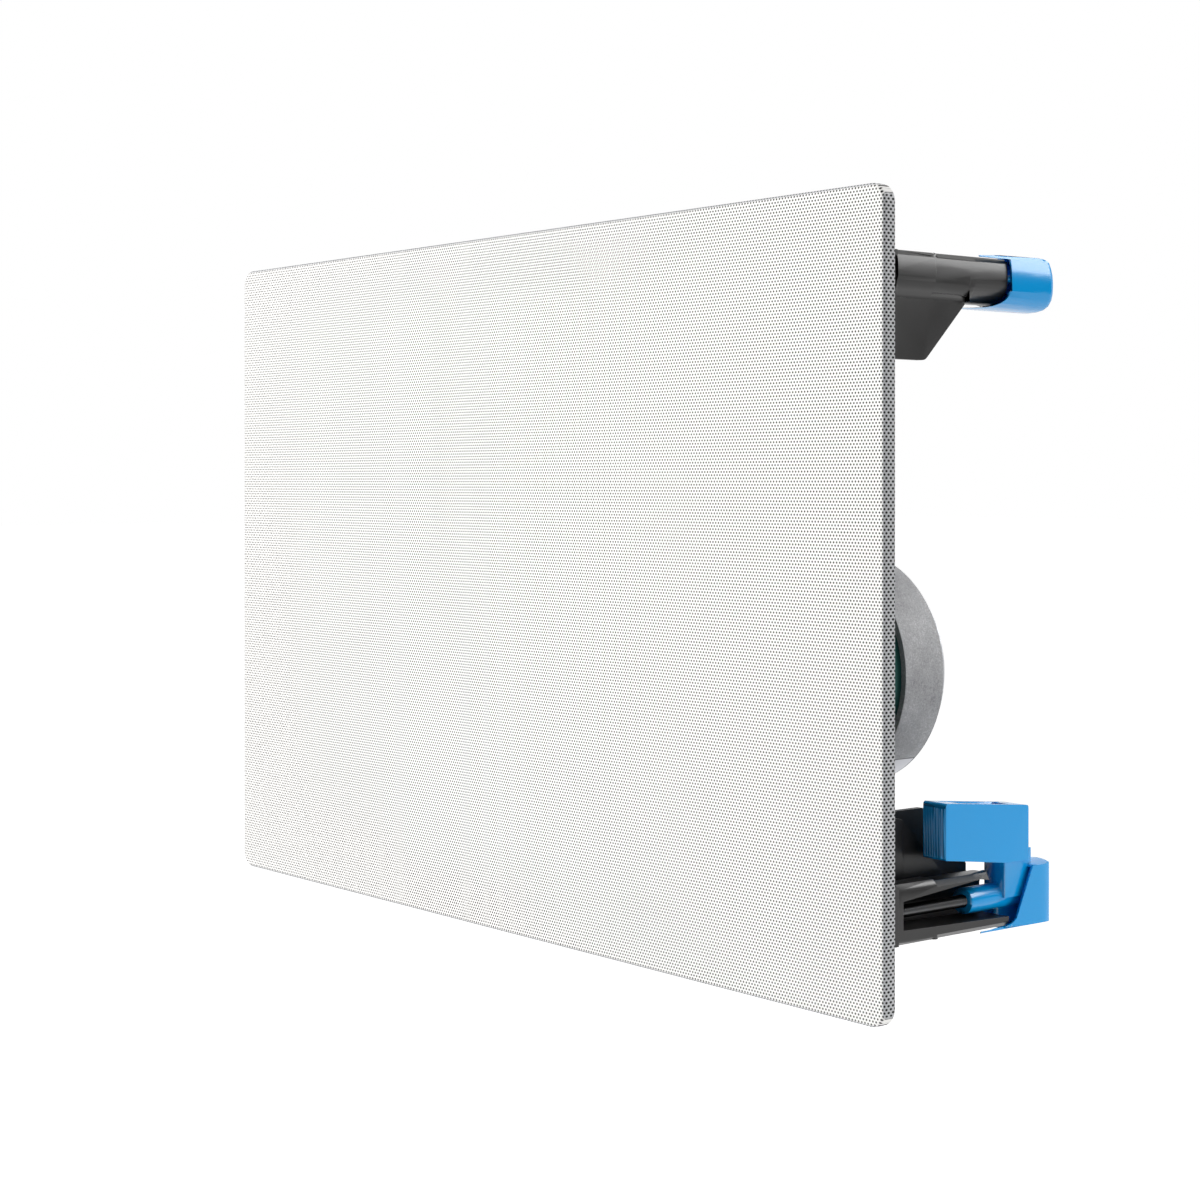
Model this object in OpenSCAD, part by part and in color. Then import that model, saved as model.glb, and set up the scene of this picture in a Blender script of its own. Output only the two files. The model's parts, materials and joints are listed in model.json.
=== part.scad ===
// In-wall loudspeaker: perforated grille on a moulded frame, two woofers with a tweeter
// above and between them, a crossover, push terminals and four swing-out wall clamps.
// +X runs along the long side, +Y goes into the wall, +Z is up.
// The origin is the middle of the flange, on the face that lies against the wall.

/* [Grille] */
// Width of the grille over its edges
grille_w = 372; // [352:1:400]
// Height of the grille over its edges
grille_h = 250; // [240:1:280]
// Radius of the grille's outline corners
grille_corner_r = 6; // [4:0.5:10]
// Thickness of the steel sheet
grille_sheet = 0.8; // [0.6:0.1:1]
// Outer radius of the bend between face and return
grille_bend_r = 1.2; // [1.1:0.1:2]
// Gap between the flange's edge and the grille's return
grille_gap = 0.5; // [0.3:0.1:1]
// Gap between the return's edge and the wall
return_gap = 0.2; // [0.1:0.1:0.5]
// Thickness of the cloth behind the sheet
scrim_t = 0.5; // [0.3:0.1:0.8]
// Radius of the magnets that hold the grille
hold_magnet_r = 3; // [2:0.5:4]
// Thickness of those magnets
hold_magnet_t = 2; // [1:0.5:2.5]

/* [Frame] */
// Thickness of the flange
flange_t = 3.5; // [3:0.5:5]
// From the grille's side edge in to the body's side wall
body_inset_x = 10; // [9:0.5:14]
// From the grille's top edge in to the body's top wall
body_inset_z = 15; // [13:0.5:20]
// Radius of the body's corners
body_corner_r = 5; // [4:0.5:7]
// Thickness of the body's walls
body_wall = 2.4; // [2:0.1:3]
// From the wall's face back to the baffle's front
tray_depth = 8; // [7:0.5:12]
// Thickness of the baffle
baffle_t = 4; // [3:0.5:6]
// Thickness of the ribs behind the baffle
rib_t = 2; // [1.5:0.5:3]
// Height of the ribs behind the baffle
rib_h = 6; // [4:0.5:8]

/* [Clamp towers] */
// Outer radius of a tower's round back
tower_r = 9; // [8.5:0.1:10]
// From the screw's axis to the tower's open face
tower_open = 6; // [5.5:0.1:7]
// Length of the stop wall behind the baffle
tower_long = 50.6; // [45:0.2:52]
// Length of the short wall behind the baffle
tower_short = 41.2; // [30:0.2:42]
// Thickness of a tower's back wall
tower_back = 2.6; // [2:0.1:3]
// How much the thick foot of a tower stands proud
collar_step = 0.5; // [0.3:0.1:1]
// Length of that thick foot behind the baffle
collar_len = 16.7; // [12:0.1:24]
// Half the channel's width at the baffle
channel_half = 4.4; // [4.3:0.1:5]
// How far a web reaches from the screw's axis
web_reach = 27; // [20:1:30]
// Thickness of a web
web_t = 2.2; // [1.5:0.1:3]
// From the body's bottom wall up to the axis of a side clamp
side_clamp_drop = 15; // [13:0.5:25]
// From the body's top wall down to the open face of an end clamp
end_clamp_drop = 3.2; // [2:0.2:8]

/* [Clamp arms] */
// Radius of the clamp screw
clamp_screw_r = 2; // [1.5:0.1:2.5]
// Radial clearance of the screw in its bores
running_gap = 0.08; // [0.05:0.01:0.1]
// Radius of the sleeve around the screw
sleeve_r = 4.1; // [3.8:0.1:4.2]
// From the baffle back to the sleeve's front end
sleeve_front = 35; // [28:0.2:40]
// From the baffle back to the gripping face of the foot
foot_front = 20.9; // [20:0.1:30]
// Length of the foot along the screw
foot_len = 38.6; // [30:0.2:40]
// From the screw's axis to the near side of the foot
foot_in = 14.8; // [13:0.1:16]
// Radial depth of the foot
foot_deep = 17.5; // [14:0.5:19]
// Thickness of the hood
hood_wall = 0.9; // [0.8:0.1:1.2]
// Clearance between hood and tower
hood_gap = 0.3; // [0.3:0.1:0.5]

/* [Woofers] */
// From the middle out to a woofer's axis
woofer_x = 97; // [90:0.5:98]
// Height of the woofers' axis over the middle
woofer_z = -27.5; // [-30:0.5:-24]
// Outer radius of a woofer's flange
woofer_r = 72.5; // [70:0.5:74]
// Thickness of the flange on the baffle
driver_flange_t = 3.5; // [2.5:0.5:4]
// Radius of the ferrite ring
magnet_r = 39.4; // [38.5:0.1:42]
// Thickness of the ferrite ring
magnet_t = 18.1; // [14:0.1:20]
// From the baffle's front back to the ferrite ring
magnet_depth = 49.1; // [48:0.1:54]
// Thickness of the front pole plate
plate_t = 5; // [4:0.5:6]
// Thickness of the back plate
yoke_t = 5; // [4:0.5:7]
// Radius of the voice coil's former, inside
coil_r = 12.9; // [12.5:0.1:14]
// Radius of the paper cone at its edge
cone_r = 50; // [46:0.5:51]
// Depth of the cone
cone_deep = 25; // [20:0.5:26]

/* [Tweeter] */
// Height of the tweeter's axis over the middle
tweeter_z = 42; // [40:0.5:56]
// Outer radius of the tweeter's faceplate
tweeter_r = 38; // [37:0.5:44]
// Radius of the dome
dome_r = 12.7; // [11:0.1:13]
// Radius of the tweeter's ferrite ring
tweeter_magnet_r = 31; // [26:0.5:31]
// Depth of the chamber behind the tweeter
chamber_deep = 15; // [10:0.5:24]

/* [Crossover] */
// Length of the circuit board
board_w = 92; // [90:1:94]
// Height of the circuit board
board_h = 46; // [45:1:48]
// Thickness of the circuit board
board_t = 1.6; // [1:0.1:2.4]

/* [Terminals] */
// Width of the terminal block
block_w = 46; // [40:1:60]
// Height of the terminal block
block_h = 26; // [24:1:36]
// Depth of the terminal block behind the baffle
block_deep = 16; // [14:0.5:24]
// Travel of a push button
push_travel = 3; // [2:0.5:4]

/* [Hidden] */

// Facets of a full circle and of a hull's own rounds
$fn = 64;
hull_fn = 32;
// One overrun serves every cut
over = 1;
// Thickness of a slice that only shapes a hull
skin = 0.01;

// Places along Y
y_back = tray_depth + baffle_t;
y_cloth = -flange_t - scrim_t;
y_face = y_cloth - grille_sheet;
y_flange = tray_depth - driver_flange_t;
y_plate = tray_depth + magnet_depth - plate_t;
y_magnet = y_plate + plate_t;
y_yoke = y_magnet + magnet_t;
y_rear = y_yoke + yoke_t;

// Outlines across X and Z
flange_w = grille_w - 2 * (grille_sheet + grille_gap);
flange_h = grille_h - 2 * (grille_sheet + grille_gap);
flange_corner_r = grille_corner_r - grille_sheet - grille_gap;
body_w = grille_w - 2 * body_inset_x;
body_h = grille_h - 2 * body_inset_z;
inner_w = body_w - 2 * body_wall;
inner_h = body_h - 2 * body_wall;

// Each clamp: its axis, then its turn about Y; the arm's foot is stowed along local +Z and
// swings to local +X, which points out past the edge of the cut-out
side_x = body_w / 2 - tower_open;
side_z = body_h / 2 - side_clamp_drop;
end_x = body_w / 2 - tower_r - collar_step;
end_z = body_h / 2 - end_clamp_drop - tower_open;
CLAMPS = [[side_x, -side_z, 0], [end_x, end_z, -90], [-side_x, side_z, 180], [-end_x, -end_z, 90]];

// Tower: the channel widens towards the rear, the webs taper off
short_flare = 3.4;
long_flare = 1.4;
tower_chamfer = 1.6;
floor_t = 2;
flange_seat = 0.5;
mark_r = 1.4;
web_low_share = 0.285;
web_corner_r = 3;
fin_reach = 28.6;
fin_low_share = 0.58;
fin_back = 11;
fin_t = 2;
fin_start = 3;

// Clamp screw and its retaining ring
clamp_head_r = 3.5;
clamp_head_t = 2.6;
recess_l = 4;
recess_w = 0.9;
recess_deep = 1.4;
screw_end_gap = 3;
ring_r = 4;
ring_t = 0.8;
ring_gap = 0.3;

// Clamp arm: neck, ridged foot, hood with its two tails
neck_near = 5.2;
neck_far = 3.5;
neck_front = 49.2;
neck_len = 12.3;
foot_drop = 3.6;
foot_round = 0.9;
ridge_n = 9;
ridge_h = 0.6;
ridge_base_share = 0.8;
pocket_rim = 1.6;
pocket_deep = 2.2;
pocket_front = 8;
spine_half = 1;
hood_r = tower_r + hood_gap + hood_wall;
hood_open = tower_open + hood_gap + hood_wall;
hood_rim_top = 60.7;
hood_rim_low = 50.3;
hood_shoulder = 63.5;
hood_rear = 72.4;
hood_round = 6.4;
hood_slices = 6;
hood_power_share = 0.42;
tail_side = 36.5;
tail_side_half = 5.5;
tail_side_end = 9.7;
tail_back = 32.8;
tail_back_half = 4;
tail_back_end = 9.6;

// Woofer, from the flange to the back plate
roll_w = 10;
neck_wall = 1.4;
neck_gap = 0.6;
basket_neck_r = cone_r + roll_w + neck_wall;
woofer_hole_r = basket_neck_r + neck_gap;
basket_wall = 2;
basket_arms = 8;
window_w = 24;
window_front = 7;
window_rear = 29.5;
shelf_r = 44;
shelf_depth = 30;
shelf_in = 33;
hub_r = 38;
hub_in = 16;
hub_t = 2.5;
edge_land = 3;
land_t = 0.6;
roll_h = 5;
cone_wall = 0.9;
cone_neck_t = 0.7;
cone_neck_len = 3;
cap_r = 19;
cap_h = 7;
cap_wall = 0.6;
former_t = 0.3;
winding_t = 0.8;
winding_over = 3.1;
pole_gap = 0.5;
gap_w = 0.6;
magnet_in = 18;
plate_r = 37.4;
yoke_r = 36.2;
vent_r = 4;
yoke_chamfer = 1;
spider_t = 0.5;
spider_lands = 2.2;
spider_wave = 1.3;
spider_waves = 5;
wave_steps = 8;
driver_screw_inset = 3.5;
driver_screw_ring = woofer_r - driver_screw_inset;
driver_screws = 6;
driver_screw_r = 1.7;
driver_screw_len = 12;
driver_hole_gap = 0.3;
driver_head_r = 3;
driver_head_t = 2;
boss_r = 3.4;
boss_rise = 1;
tag_board_w = 22;
tag_board_t = 1.6;
tweeter_board_t = 1;
tag_shelf_t = 2;
tag_shelf_out = 52;
tag_w = 5;
tag_t = 0.8;
tag_out = 8;
tag_apart = 6;

// Tweeter
tweeter_hole_gap = 1;
tweeter_hole_r = tweeter_magnet_r + tweeter_hole_gap;
throat_r = 15.8;
horn_r = 28;
horn_throat = 2.5;
roll_r = 15.5;
dome_h = 4.4;
dome_wall = 0.5;
dome_base = 9.6;
tweeter_gap = 0.45;
tweeter_land_in = 18;
tweeter_coil_len = 4.6;
tweeter_plate_t = 4;
tweeter_stack = 10.5;
tweeter_magnet_t = 10;
tweeter_magnet_in = 17;
tweeter_plate_r = 29.5;
tweeter_yoke_r = 28.5;
tweeter_yoke_t = 4;
chamber_r = 20;
chamber_wall = 1.6;
tweeter_screw_ring = (tweeter_hole_r + tweeter_r) / 2;
tweeter_screw_n = 4;
tweeter_screw_r = 1.4;
tweeter_head_r = 2.6;
tweeter_head_t = 1.6;
tweeter_screw_len = 9;
tweeter_boss_r = 3.2;
tweeter_boss_shift = 0.5;
tweeter_tag_half = 8;
tweeter_tag_in = 21.5;
tweeter_tag_out = 28;
tweeter_tag_apart = 4;

// Crossover board and what stands on it
board_x = -94;
board_z = 82;
board_lift = 6;
board_inset = 5;
post_r = 3.5;
board_screw_r = 1.5;
board_head_r = 2.8;
board_head_t = 1.8;
board_screw_len = 7;
board_screw_gap = 0.2;
y_board = y_back + board_lift;
y_parts = y_board + board_t;
coil_places_share = [[-0.315, 0.12], [-0.01, 0.12]];
coil_out_r = [13, 12];
coil_in_r = [6, 5];
coil_len = [14, 11];
film_r = 4.6;
film_len = 22;
film_places_share = [[0.26, 0.34], [0.26, 0.12]];
can_r = 6.5;
can_len = 28;
can_groove = 0.6;
can_lip = 3;
can_places_share = [[-0.2, -0.33]];
brick_w = 20;
brick_h = 7;
brick_places_share = [[0.3, -0.1], [0.3, -0.3]];

// Terminal block, its push buttons and wire holes
block_x = 78;
block_z = 84;
block_round = 2;
button_apart = 20;
button_w = 11;
button_h = 12;
button_gap = 0.3;
button_deep = 9;
button_out = 5;
button_cup = 1;
button_rise = 4;
wire_hole_r = 1.6;
wire_hole_deep = 10;
wire_hole_drop = 7.5;
ear_w = 8;
ear_t = 3;
ear_hole_r = 1.7;
block_screw_len = 6;

// Leads between board, drivers and terminal block: insulation radius, sides and steps
lead_r = 1;
lead_sides = 8;
lead_steps = 4;

// Routes chosen by hand, each with the heading of its last end: left woofer, right woofer,
// tweeter, terminal block
BLACK_ROUTES = [
  [[[-88, 19.6, 62], [-88, 24, 62], [-90, 34, 54], [-98, 48, 38], [-103, 56, 27], [-103, 57, 21],
    [-103, 52, 21]], [0, -1, 0]],
  [[[-51.5, 19.6, 70], [-51.5, 24, 70], [-47, 31, 64], [-38, 38, 44], [-22, 44, 12], [20, 50, -4],
    [68, 55, 12], [91, 57, 21], [91, 52, 21]], [0, -1, 0]],
  [[[-51.5, 19.6, 77], [-51.5, 24, 77], [-44, 30, 79], [-24, 36, 76], [-6, 37, 69], [-4, 35, 67],
    [-4, 30.3, 67]], [0, -1, 0]],
  [[[-51.5, 19.6, 87], [-51.5, 23, 87], [-44, 26, 91], [-20, 26, 94], [20, 26, 94], [42, 23, 87],
    [50, 21, 82], [55, 21, 82]], [1, 0, 0]]];
RED_ROUTES = [
  [[[-84, 19.6, 62], [-84, 24, 62], [-85, 34, 55], [-88, 48, 40], [-91, 56, 28], [-91, 57, 21],
    [-91, 52, 21]], [0, -1, 0]],
  [[[-51.5, 19.6, 73], [-51.5, 24, 73], [-45, 34, 67], [-35, 41, 46], [-19, 47, 15], [22, 53, 0],
    [70, 58, 16], [100, 60, 22], [103, 58, 21], [103, 52, 21]], [0, -1, 0]],
  [[[-51.5, 19.6, 80], [-51.5, 24, 80], [-44, 31, 83], [-22, 38, 80], [-1, 40, 72], [4, 36, 67],
    [4, 30.3, 67]], [0, -1, 0]],
  [[[-51.5, 19.6, 90], [-51.5, 23, 90], [-44, 26, 95], [-20, 26, 97.5], [20, 26, 97.5], [44, 23, 93],
    [50, 21, 88], [55, 21, 88]], [1, 0, 0]]];

// 2D drawn in X and Z, standing from y0 to y1
module along_y(y0, y1) translate([0, y1, 0]) rotate([90, 0, 0]) linear_extrude(y1 - y0) children();

// 2D drawn in Y and Z, running from x0 to x1
module along_x(x0, x1) translate([x0, 0, 0]) rotate([90, 0, 90]) linear_extrude(x1 - x0) children();

// 2D drawn in X and Y, running from z0 to z1
module along_z(z0, z1) translate([0, 0, z0]) linear_extrude(z1 - z0) children();

// 2D drawn in radius and Y, turned about the Y axis
module turned() rotate([-90, 0, 0]) rotate_extrude() children();

module disc(r, y0, y1) along_y(y0, y1) circle(r);

module ring(r_in, r_out, y0, y1) along_y(y0, y1) difference() {
  circle(r_out);
  circle(r_in);
}

module block(lo, hi) translate(lo) cube(hi - lo);

module rounded_rect(w, h, r) {
  square([w - 2 * r, h], center = true);
  square([w, h - 2 * r], center = true);
  for (x = [-1, 1], z = [-1, 1]) translate([x * (w / 2 - r), z * (h / 2 - r)]) circle(r);
}

// A profile, drawn outwards and along Y, carried once round a rounded rectangle
module round_the_edge(w, h, r) {
  for (k = [0 : 3]) {
    side = k % 2 == 0 ? w : h;
    run = k % 2 == 0 ? h : w;
    sx = k == 0 || k == 3 ? 1 : -1;
    sz = k < 2 ? -1 : 1;
    rotate([0, 90 * k, 0]) translate([side / 2, 0, 0])
      linear_extrude(run - 2 * r, center = true) children();
    translate([sx * (w / 2 - r), 0, sz * (h / 2 - r)]) rotate([0, 90 * k, 0]) rotate([-90, 0, 0])
      rotate_extrude(angle = 90) translate([r, 0]) children();
  }
}

function arc(c, rx, ry, a0, a1, n)
  = [for (i = [0 : n]) let (a = a0 + (a1 - a0) * i / n) c + [rx * cos(a), ry * sin(a)]];

module at_clamp(i) translate([CLAMPS[i][0], 0, CLAMPS[i][1]]) rotate([0, CLAMPS[i][2], 0]) children();

module at_woofer(side) translate([side * woofer_x, 0, woofer_z]) children();

module at_tweeter() translate([0, 0, tweeter_z]) children();

// Sheet with a rolled edge; the perforation is too fine to cut here
module grille() color("white") {
  b = grille_bend_r;
  along_y(y_face, y_cloth) rounded_rect(grille_w - 2 * b, grille_h - 2 * b, grille_corner_r - b);
  round_the_edge(grille_w, grille_h, grille_corner_r) polygon(concat(
    arc([-b, y_face + b], b, b, -90, 0, 6),
    [[0, -return_gap], [-grille_sheet, -return_gap]],
    arc([-b, y_face + b], b - grille_sheet, b - grille_sheet, 0, -90, 4)));
}

module grille_cloth() color([0.07, 0.07, 0.07])
  along_y(y_cloth, -flange_t)
    rounded_rect(flange_w - 2 * grille_gap, flange_h - 2 * grille_gap, flange_corner_r);

// Places of the holding magnets on the flange
hold_x = (flange_w + inner_w) / 4;
hold_z = (flange_h + inner_h) / 4;
HOLDS = concat([for (x = [-1, 0, 1], z = [-1, 1]) [x * hold_x * 2 / 3, z * hold_z]],
  [for (x = [-1, 1], z = [-1, 1]) [x * hold_x, z * hold_z / 2]]);

module hold_discs(r, extra)
  for (p = HOLDS) translate([p[0], 0, p[1]]) disc(r, -flange_t - extra, hold_magnet_t - flange_t);

module grille_magnets() color("silver") hold_discs(hold_magnet_r, 0);

// Tower section across the screw: round back, flat sides, open face
module tower_section(r) difference() {
  union() {
    circle(r);
    translate([0, -r]) square([tower_open, 2 * r]);
  }
  translate([tower_open, -2 * r]) square([2 * r, 4 * r]);
  for (z = [-r, r]) translate([tower_open, z]) rotate(45) square(tower_chamfer * sqrt(2), center = true);
}

// Web outline: reach from the axis, then distance behind the baffle. It runs straight up to low
// and from there at 45 degrees to the tower's side.
module web_outline(reach, low, start) {
  r = web_corner_r;
  top = y_back + low + reach - tower_r;
  polygon(concat([[start, y_back], [reach, y_back]],
    arc([reach - r, y_back + low - r * tan(22.5)], r, r, 0, 45, 4),
    [[tower_r, top], [start, top]]));
}

// Fin behind a side clamp, clear of the swinging hood and tied to the tower's foot
module side_fin() {
  translate([-fin_back - fin_t, 0, 0]) along_x(0, fin_t) mirror([1, -1])
    web_outline(fin_reach, tower_long * fin_low_share, fin_start);
  block([-fin_back - over, y_back, fin_start], [-tower_r / 2, y_back + collar_len, fin_start + fin_t]);
}

module tower() {
  difference() {
    union() {
      along_y(y_back, y_back + tower_long) tower_section(tower_r);
      along_y(y_back, y_back + collar_len) tower_section(tower_r + collar_step);
      along_z(-tower_r, web_t - tower_r) mirror([1, 0])
        web_outline(web_reach, tower_long * web_low_share, 0);
      translate([-tower_r, 0, 0]) along_x(0, web_t) mirror([1, -1])
        web_outline(web_reach, tower_long * web_low_share, 0);
      translate([tower_open - mark_r, y_back + collar_len, -tower_r])
        cylinder(r = mark_r, h = tower_r - channel_half - mark_r);
    }
    along_x(tower_back - tower_r, tower_open + over) polygon([
      [y_back + floor_t, -channel_half], [y_back + tower_long + over, -channel_half - long_flare],
      [y_back + tower_long + over, channel_half + short_flare],
      [y_back + tower_short, channel_half + short_flare], [y_back + floor_t, channel_half]]);
    block([tower_back - tower_r, y_back + tower_short, 0],
      [tower_open + over, y_back + tower_long + over, tower_r + over]);
  }
}

// Screw places of one driver
module round_about(n, r) for (k = [0 : n - 1]) rotate([0, 360 * (k + 0.5) / n, 0])
  translate([r, 0, 0]) children();

module driver_bosses() {
  for (s = [-1, 1]) at_woofer(s) {
    ring(woofer_hole_r, woofer_hole_r + rib_t, tray_depth, y_back + rib_h);
    round_about(driver_screws, driver_screw_ring) disc(boss_r, tray_depth, y_back + rib_h + boss_rise);
  }
  at_tweeter() {
    ring(tweeter_hole_r, tweeter_hole_r + rib_t, tray_depth, y_back + rib_h);
    round_about(tweeter_screw_n, tweeter_screw_ring + tweeter_boss_shift)
      disc(tweeter_boss_r, tray_depth, y_back + rib_h + boss_rise);
  }
}

module stiffening_ribs() {
  rib_rows = [woofer_z + woofer_hole_r + 2 * rib_h, woofer_z - woofer_hole_r - rib_h];
  end = end_x - web_reach - rib_t;
  for (z = rib_rows) block([-end, tray_depth, z], [end, y_back + rib_h, z + rib_t]);
  block([-rib_t / 2, tray_depth, -inner_h / 2], [rib_t / 2, y_back + rib_h, tweeter_z - tweeter_hole_r]);
  for (x = [-woofer_x, woofer_x])
    block([x - rib_t / 2, tray_depth, -inner_h / 2],
      [x + rib_t / 2, y_back + rib_h, woofer_z - woofer_hole_r]);
}

board_posts = [for (x = [-1, 1], z = [-1, 1])
  [board_x + x * (board_w / 2 - board_inset), board_z + z * (board_h / 2 - board_inset)]];

module at_points(points) for (p = points) translate([p[0], 0, p[1]]) children();

block_holes = [for (x = [-1, 1]) [block_x + x * (block_w + ear_w) / 2, block_z]];

module driver_cuts() {
  for (s = [-1, 1]) at_woofer(s) {
    disc(woofer_hole_r, tray_depth - over, y_back + rib_h + boss_rise + over);
    round_about(driver_screws, driver_screw_ring)
      disc(driver_screw_r, y_flange, y_flange + driver_screw_len);
  }
  at_tweeter() {
    disc(tweeter_hole_r, tray_depth - over, y_back + rib_h + boss_rise + over);
    round_about(tweeter_screw_n, tweeter_screw_ring)
      disc(tweeter_screw_r, y_flange, y_flange + tweeter_screw_len);
  }
}

// Flange, body and towers are one moulding; each is a node of its own, and they meet face to face.
// The body's walls sit in a shallow step of the flange, so the wall side of the flange is one flat ring.
module frame_flange() color([0.12, 0.12, 0.13]) difference() {
  along_y(-flange_t, 0) difference() {
    rounded_rect(flange_w, flange_h, flange_corner_r);
    rounded_rect(inner_w, inner_h, body_corner_r - body_wall);
  }
  along_y(-flange_seat, over) rounded_rect(body_w, body_h, body_corner_r);
  hold_discs(hold_magnet_r, over);
}

module clamp_towers() color([0.12, 0.12, 0.13]) difference() {
  union() {
    for (i = [0 : 3]) at_clamp(i) tower();
    for (i = [0, 2]) at_clamp(i) side_fin();
  }
  for (i = [0 : 3]) at_clamp(i) disc(clamp_screw_r + running_gap, y_back - over, y_back + floor_t + over);
}

module frame() color([0.12, 0.12, 0.13]) difference() {
  union() {
    along_y(-flange_seat, y_back) difference() {
      rounded_rect(body_w, body_h, body_corner_r);
      rounded_rect(inner_w, inner_h, body_corner_r - body_wall);
    }
    along_y(tray_depth, y_back) rounded_rect(body_w, body_h, body_corner_r);
    driver_bosses();
    stiffening_ribs();
    at_points(board_posts) disc(post_r, tray_depth, y_board);
  }
  driver_cuts();
  at_points(board_posts) disc(board_screw_r, y_parts - board_screw_len, y_board + over);
  at_points(block_holes) disc(board_screw_r, y_back + ear_t - block_screw_len, y_back + over);
  for (i = [0 : 3]) at_clamp(i) disc(clamp_screw_r + running_gap, tray_depth - over, y_back + over);
}

module clamp_screw(i) color([0.08, 0.08, 0.08]) at_clamp(i) difference() {
  union() {
    disc(clamp_head_r, tray_depth - clamp_head_t, tray_depth);
    disc(clamp_screw_r, tray_depth - clamp_head_t, y_back + hood_rear - screw_end_gap);
  }
  for (a = [0, 90]) rotate([0, a, 0])
    block([-recess_l / 2, tray_depth - clamp_head_t - over, -recess_w / 2],
      [recess_l / 2, tray_depth - clamp_head_t + recess_deep, recess_w / 2]);
}

module clamp_ring(i) color("silver") at_clamp(i)
  ring(clamp_screw_r, ring_r, y_back + floor_t + ring_gap, y_back + floor_t + ring_gap + ring_t);

// Hood section across the screw, drawn in by d on every side
module hood_section(d) difference() {
  r = hood_r - d;
  union() {
    circle(r, $fn = hull_fn);
    translate([0, -r]) square([hood_open - d, 2 * r]);
  }
  translate([hood_open - d, -2 * r]) square([2 * r, 4 * r]);
}

// The rear end is domed: slices from the shoulder on draw in along a flattened ellipse
module hood_solid(d) hull() {
  along_y(y_back + tail_back, y_back + hood_shoulder) hood_section(d);
  for (k = [1 : hood_slices]) {
    a = 90 * k / hood_slices;
    y = y_back + hood_shoulder + (hood_rear - d - hood_shoulder) * pow(sin(a), 2 * hood_power_share);
    along_y(y - skin, y) hood_section(d + hood_round * (1 - pow(cos(a), 2 * hood_power_share)));
  }
}

// What is left of the hood: a slanted rim, one tail along the open face, one along the back
module hood_keep() {
  far = hood_rear + over;
  out = hood_r + over;
  // where the slanted rim passes the height at which the side tail starts
  tail_side_meet = hood_rim_low + (hood_rim_top - hood_rim_low) * (out - tail_side_half) / (2 * out);
  translate([0, y_back, 0]) {
    along_x(-out, out) polygon([[hood_rim_top, out], [far, out], [far, -out], [hood_rim_low, -out]]);
    along_x(tower_open, out) polygon(concat([[far, -tail_side_half]],
      arc([tail_side, -tail_side_half], tail_side_meet - tail_side, tail_side_end - tail_side_half,
        0, -90, 10),
      [[tail_side, -out], [far, -out]]));
    along_z(-out, 0) polygon(concat([[-tail_back_half, far]],
      arc([-tail_back_half, tail_back], tail_back_end - tail_back_half, hood_rim_low - tail_back,
        90, 180, 8),
      [[-out, tail_back], [-out, far]]));
  }
}

// Foot outline in Y and Z, with round corners at its outer end
module foot_outline() {
  r = foot_round;
  y0 = y_back + foot_front;
  y1 = y0 + foot_len;
  z0 = foot_in;
  z1 = foot_in + foot_deep;
  polygon(concat([[y0, z0]],
    arc([y0 + r, z1 - r], r, r, 180, 90, 4),
    arc([y1 - r, z1 - r - foot_drop], r, r, 90, 0, 4),
    [[y1, z0 - foot_drop], [y_back + neck_front, z0 - foot_drop]]));
}

module foot_ridges() {
  w = tower_open + neck_far;
  step = w / ridge_n;
  for (k = [0 : ridge_n - 1]) translate([k * step - neck_far, y_back + foot_front, 0])
    along_z(foot_in + step / 2, foot_in + foot_deep - foot_round - ridge_h)
      polygon([[step * (1 - ridge_base_share), 0], [step / 2, -ridge_h], [step * ridge_base_share, 0]]);
}

module clamp_arm(i) color([0.16, 0.42, 0.72]) at_clamp(i) difference() {
  union() {
    disc(sleeve_r, y_back + sleeve_front, y_back + neck_front + neck_len);
    block([-neck_far, y_back + neck_front, 0], [neck_near, y_back + neck_front + neck_len, foot_in]);
    difference() {
      along_x(-neck_far, tower_open) foot_outline();
      block([pocket_rim - neck_far, y_back + foot_front + pocket_front,
        foot_in + foot_deep - foot_drop - pocket_deep],
        [tower_open - pocket_rim, y_back + foot_front + foot_len - pocket_front,
          foot_in + foot_deep + over]);
    }
    foot_ridges();
    block([-spine_half, y_back + tower_long + hood_gap, -tower_r],
      [spine_half, y_back + hood_shoulder, tower_r]);
    intersection() {
      difference() {
        hood_solid(0);
        hood_solid(hood_wall);
      }
      hood_keep();
    }
  }
  disc(clamp_screw_r + running_gap, y_back, y_back + hood_rear - screw_end_gap + over);
}

// Basket: flange, neck, arms with windows, shelf for the spider and hub against the front plate
module woofer_basket(s) color([0.1, 0.1, 0.11]) at_woofer(s) {
  shelf = tray_depth + shelf_depth;
  difference() {
    union() {
      turned() polygon([
        [cone_r + roll_w, y_flange], [woofer_r, y_flange], [woofer_r, tray_depth],
        [basket_neck_r, tray_depth],
        [basket_neck_r, y_back], [shelf_r, shelf], [hub_r, shelf + basket_wall], [hub_r, y_plate],
        [hub_in, y_plate], [hub_in, y_plate - hub_t], [hub_r - basket_wall, y_plate - hub_t],
        [hub_r - basket_wall, shelf + basket_wall], [shelf_in, shelf + basket_wall], [shelf_in, shelf],
        [shelf_r - basket_wall, shelf], [cone_r + roll_w - basket_wall, y_back],
        [cone_r + roll_w - basket_wall, y_flange]]);
      block([-tag_board_w / 2, y_plate - hub_t - tag_shelf_t, hub_r - basket_wall],
        [tag_board_w / 2, y_plate - hub_t, tag_shelf_out]);
    }
    for (k = [0 : basket_arms - 1]) rotate([0, 360 * k / basket_arms, 0])
      block([shelf_r - 2 * basket_wall, tray_depth + window_front, -window_w / 2],
        [woofer_r, tray_depth + window_rear, window_w / 2]);
    round_about(driver_screws, driver_screw_ring)
      disc(driver_screw_r + driver_hole_gap, y_flange - over, tray_depth + over);
  }
}

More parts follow.
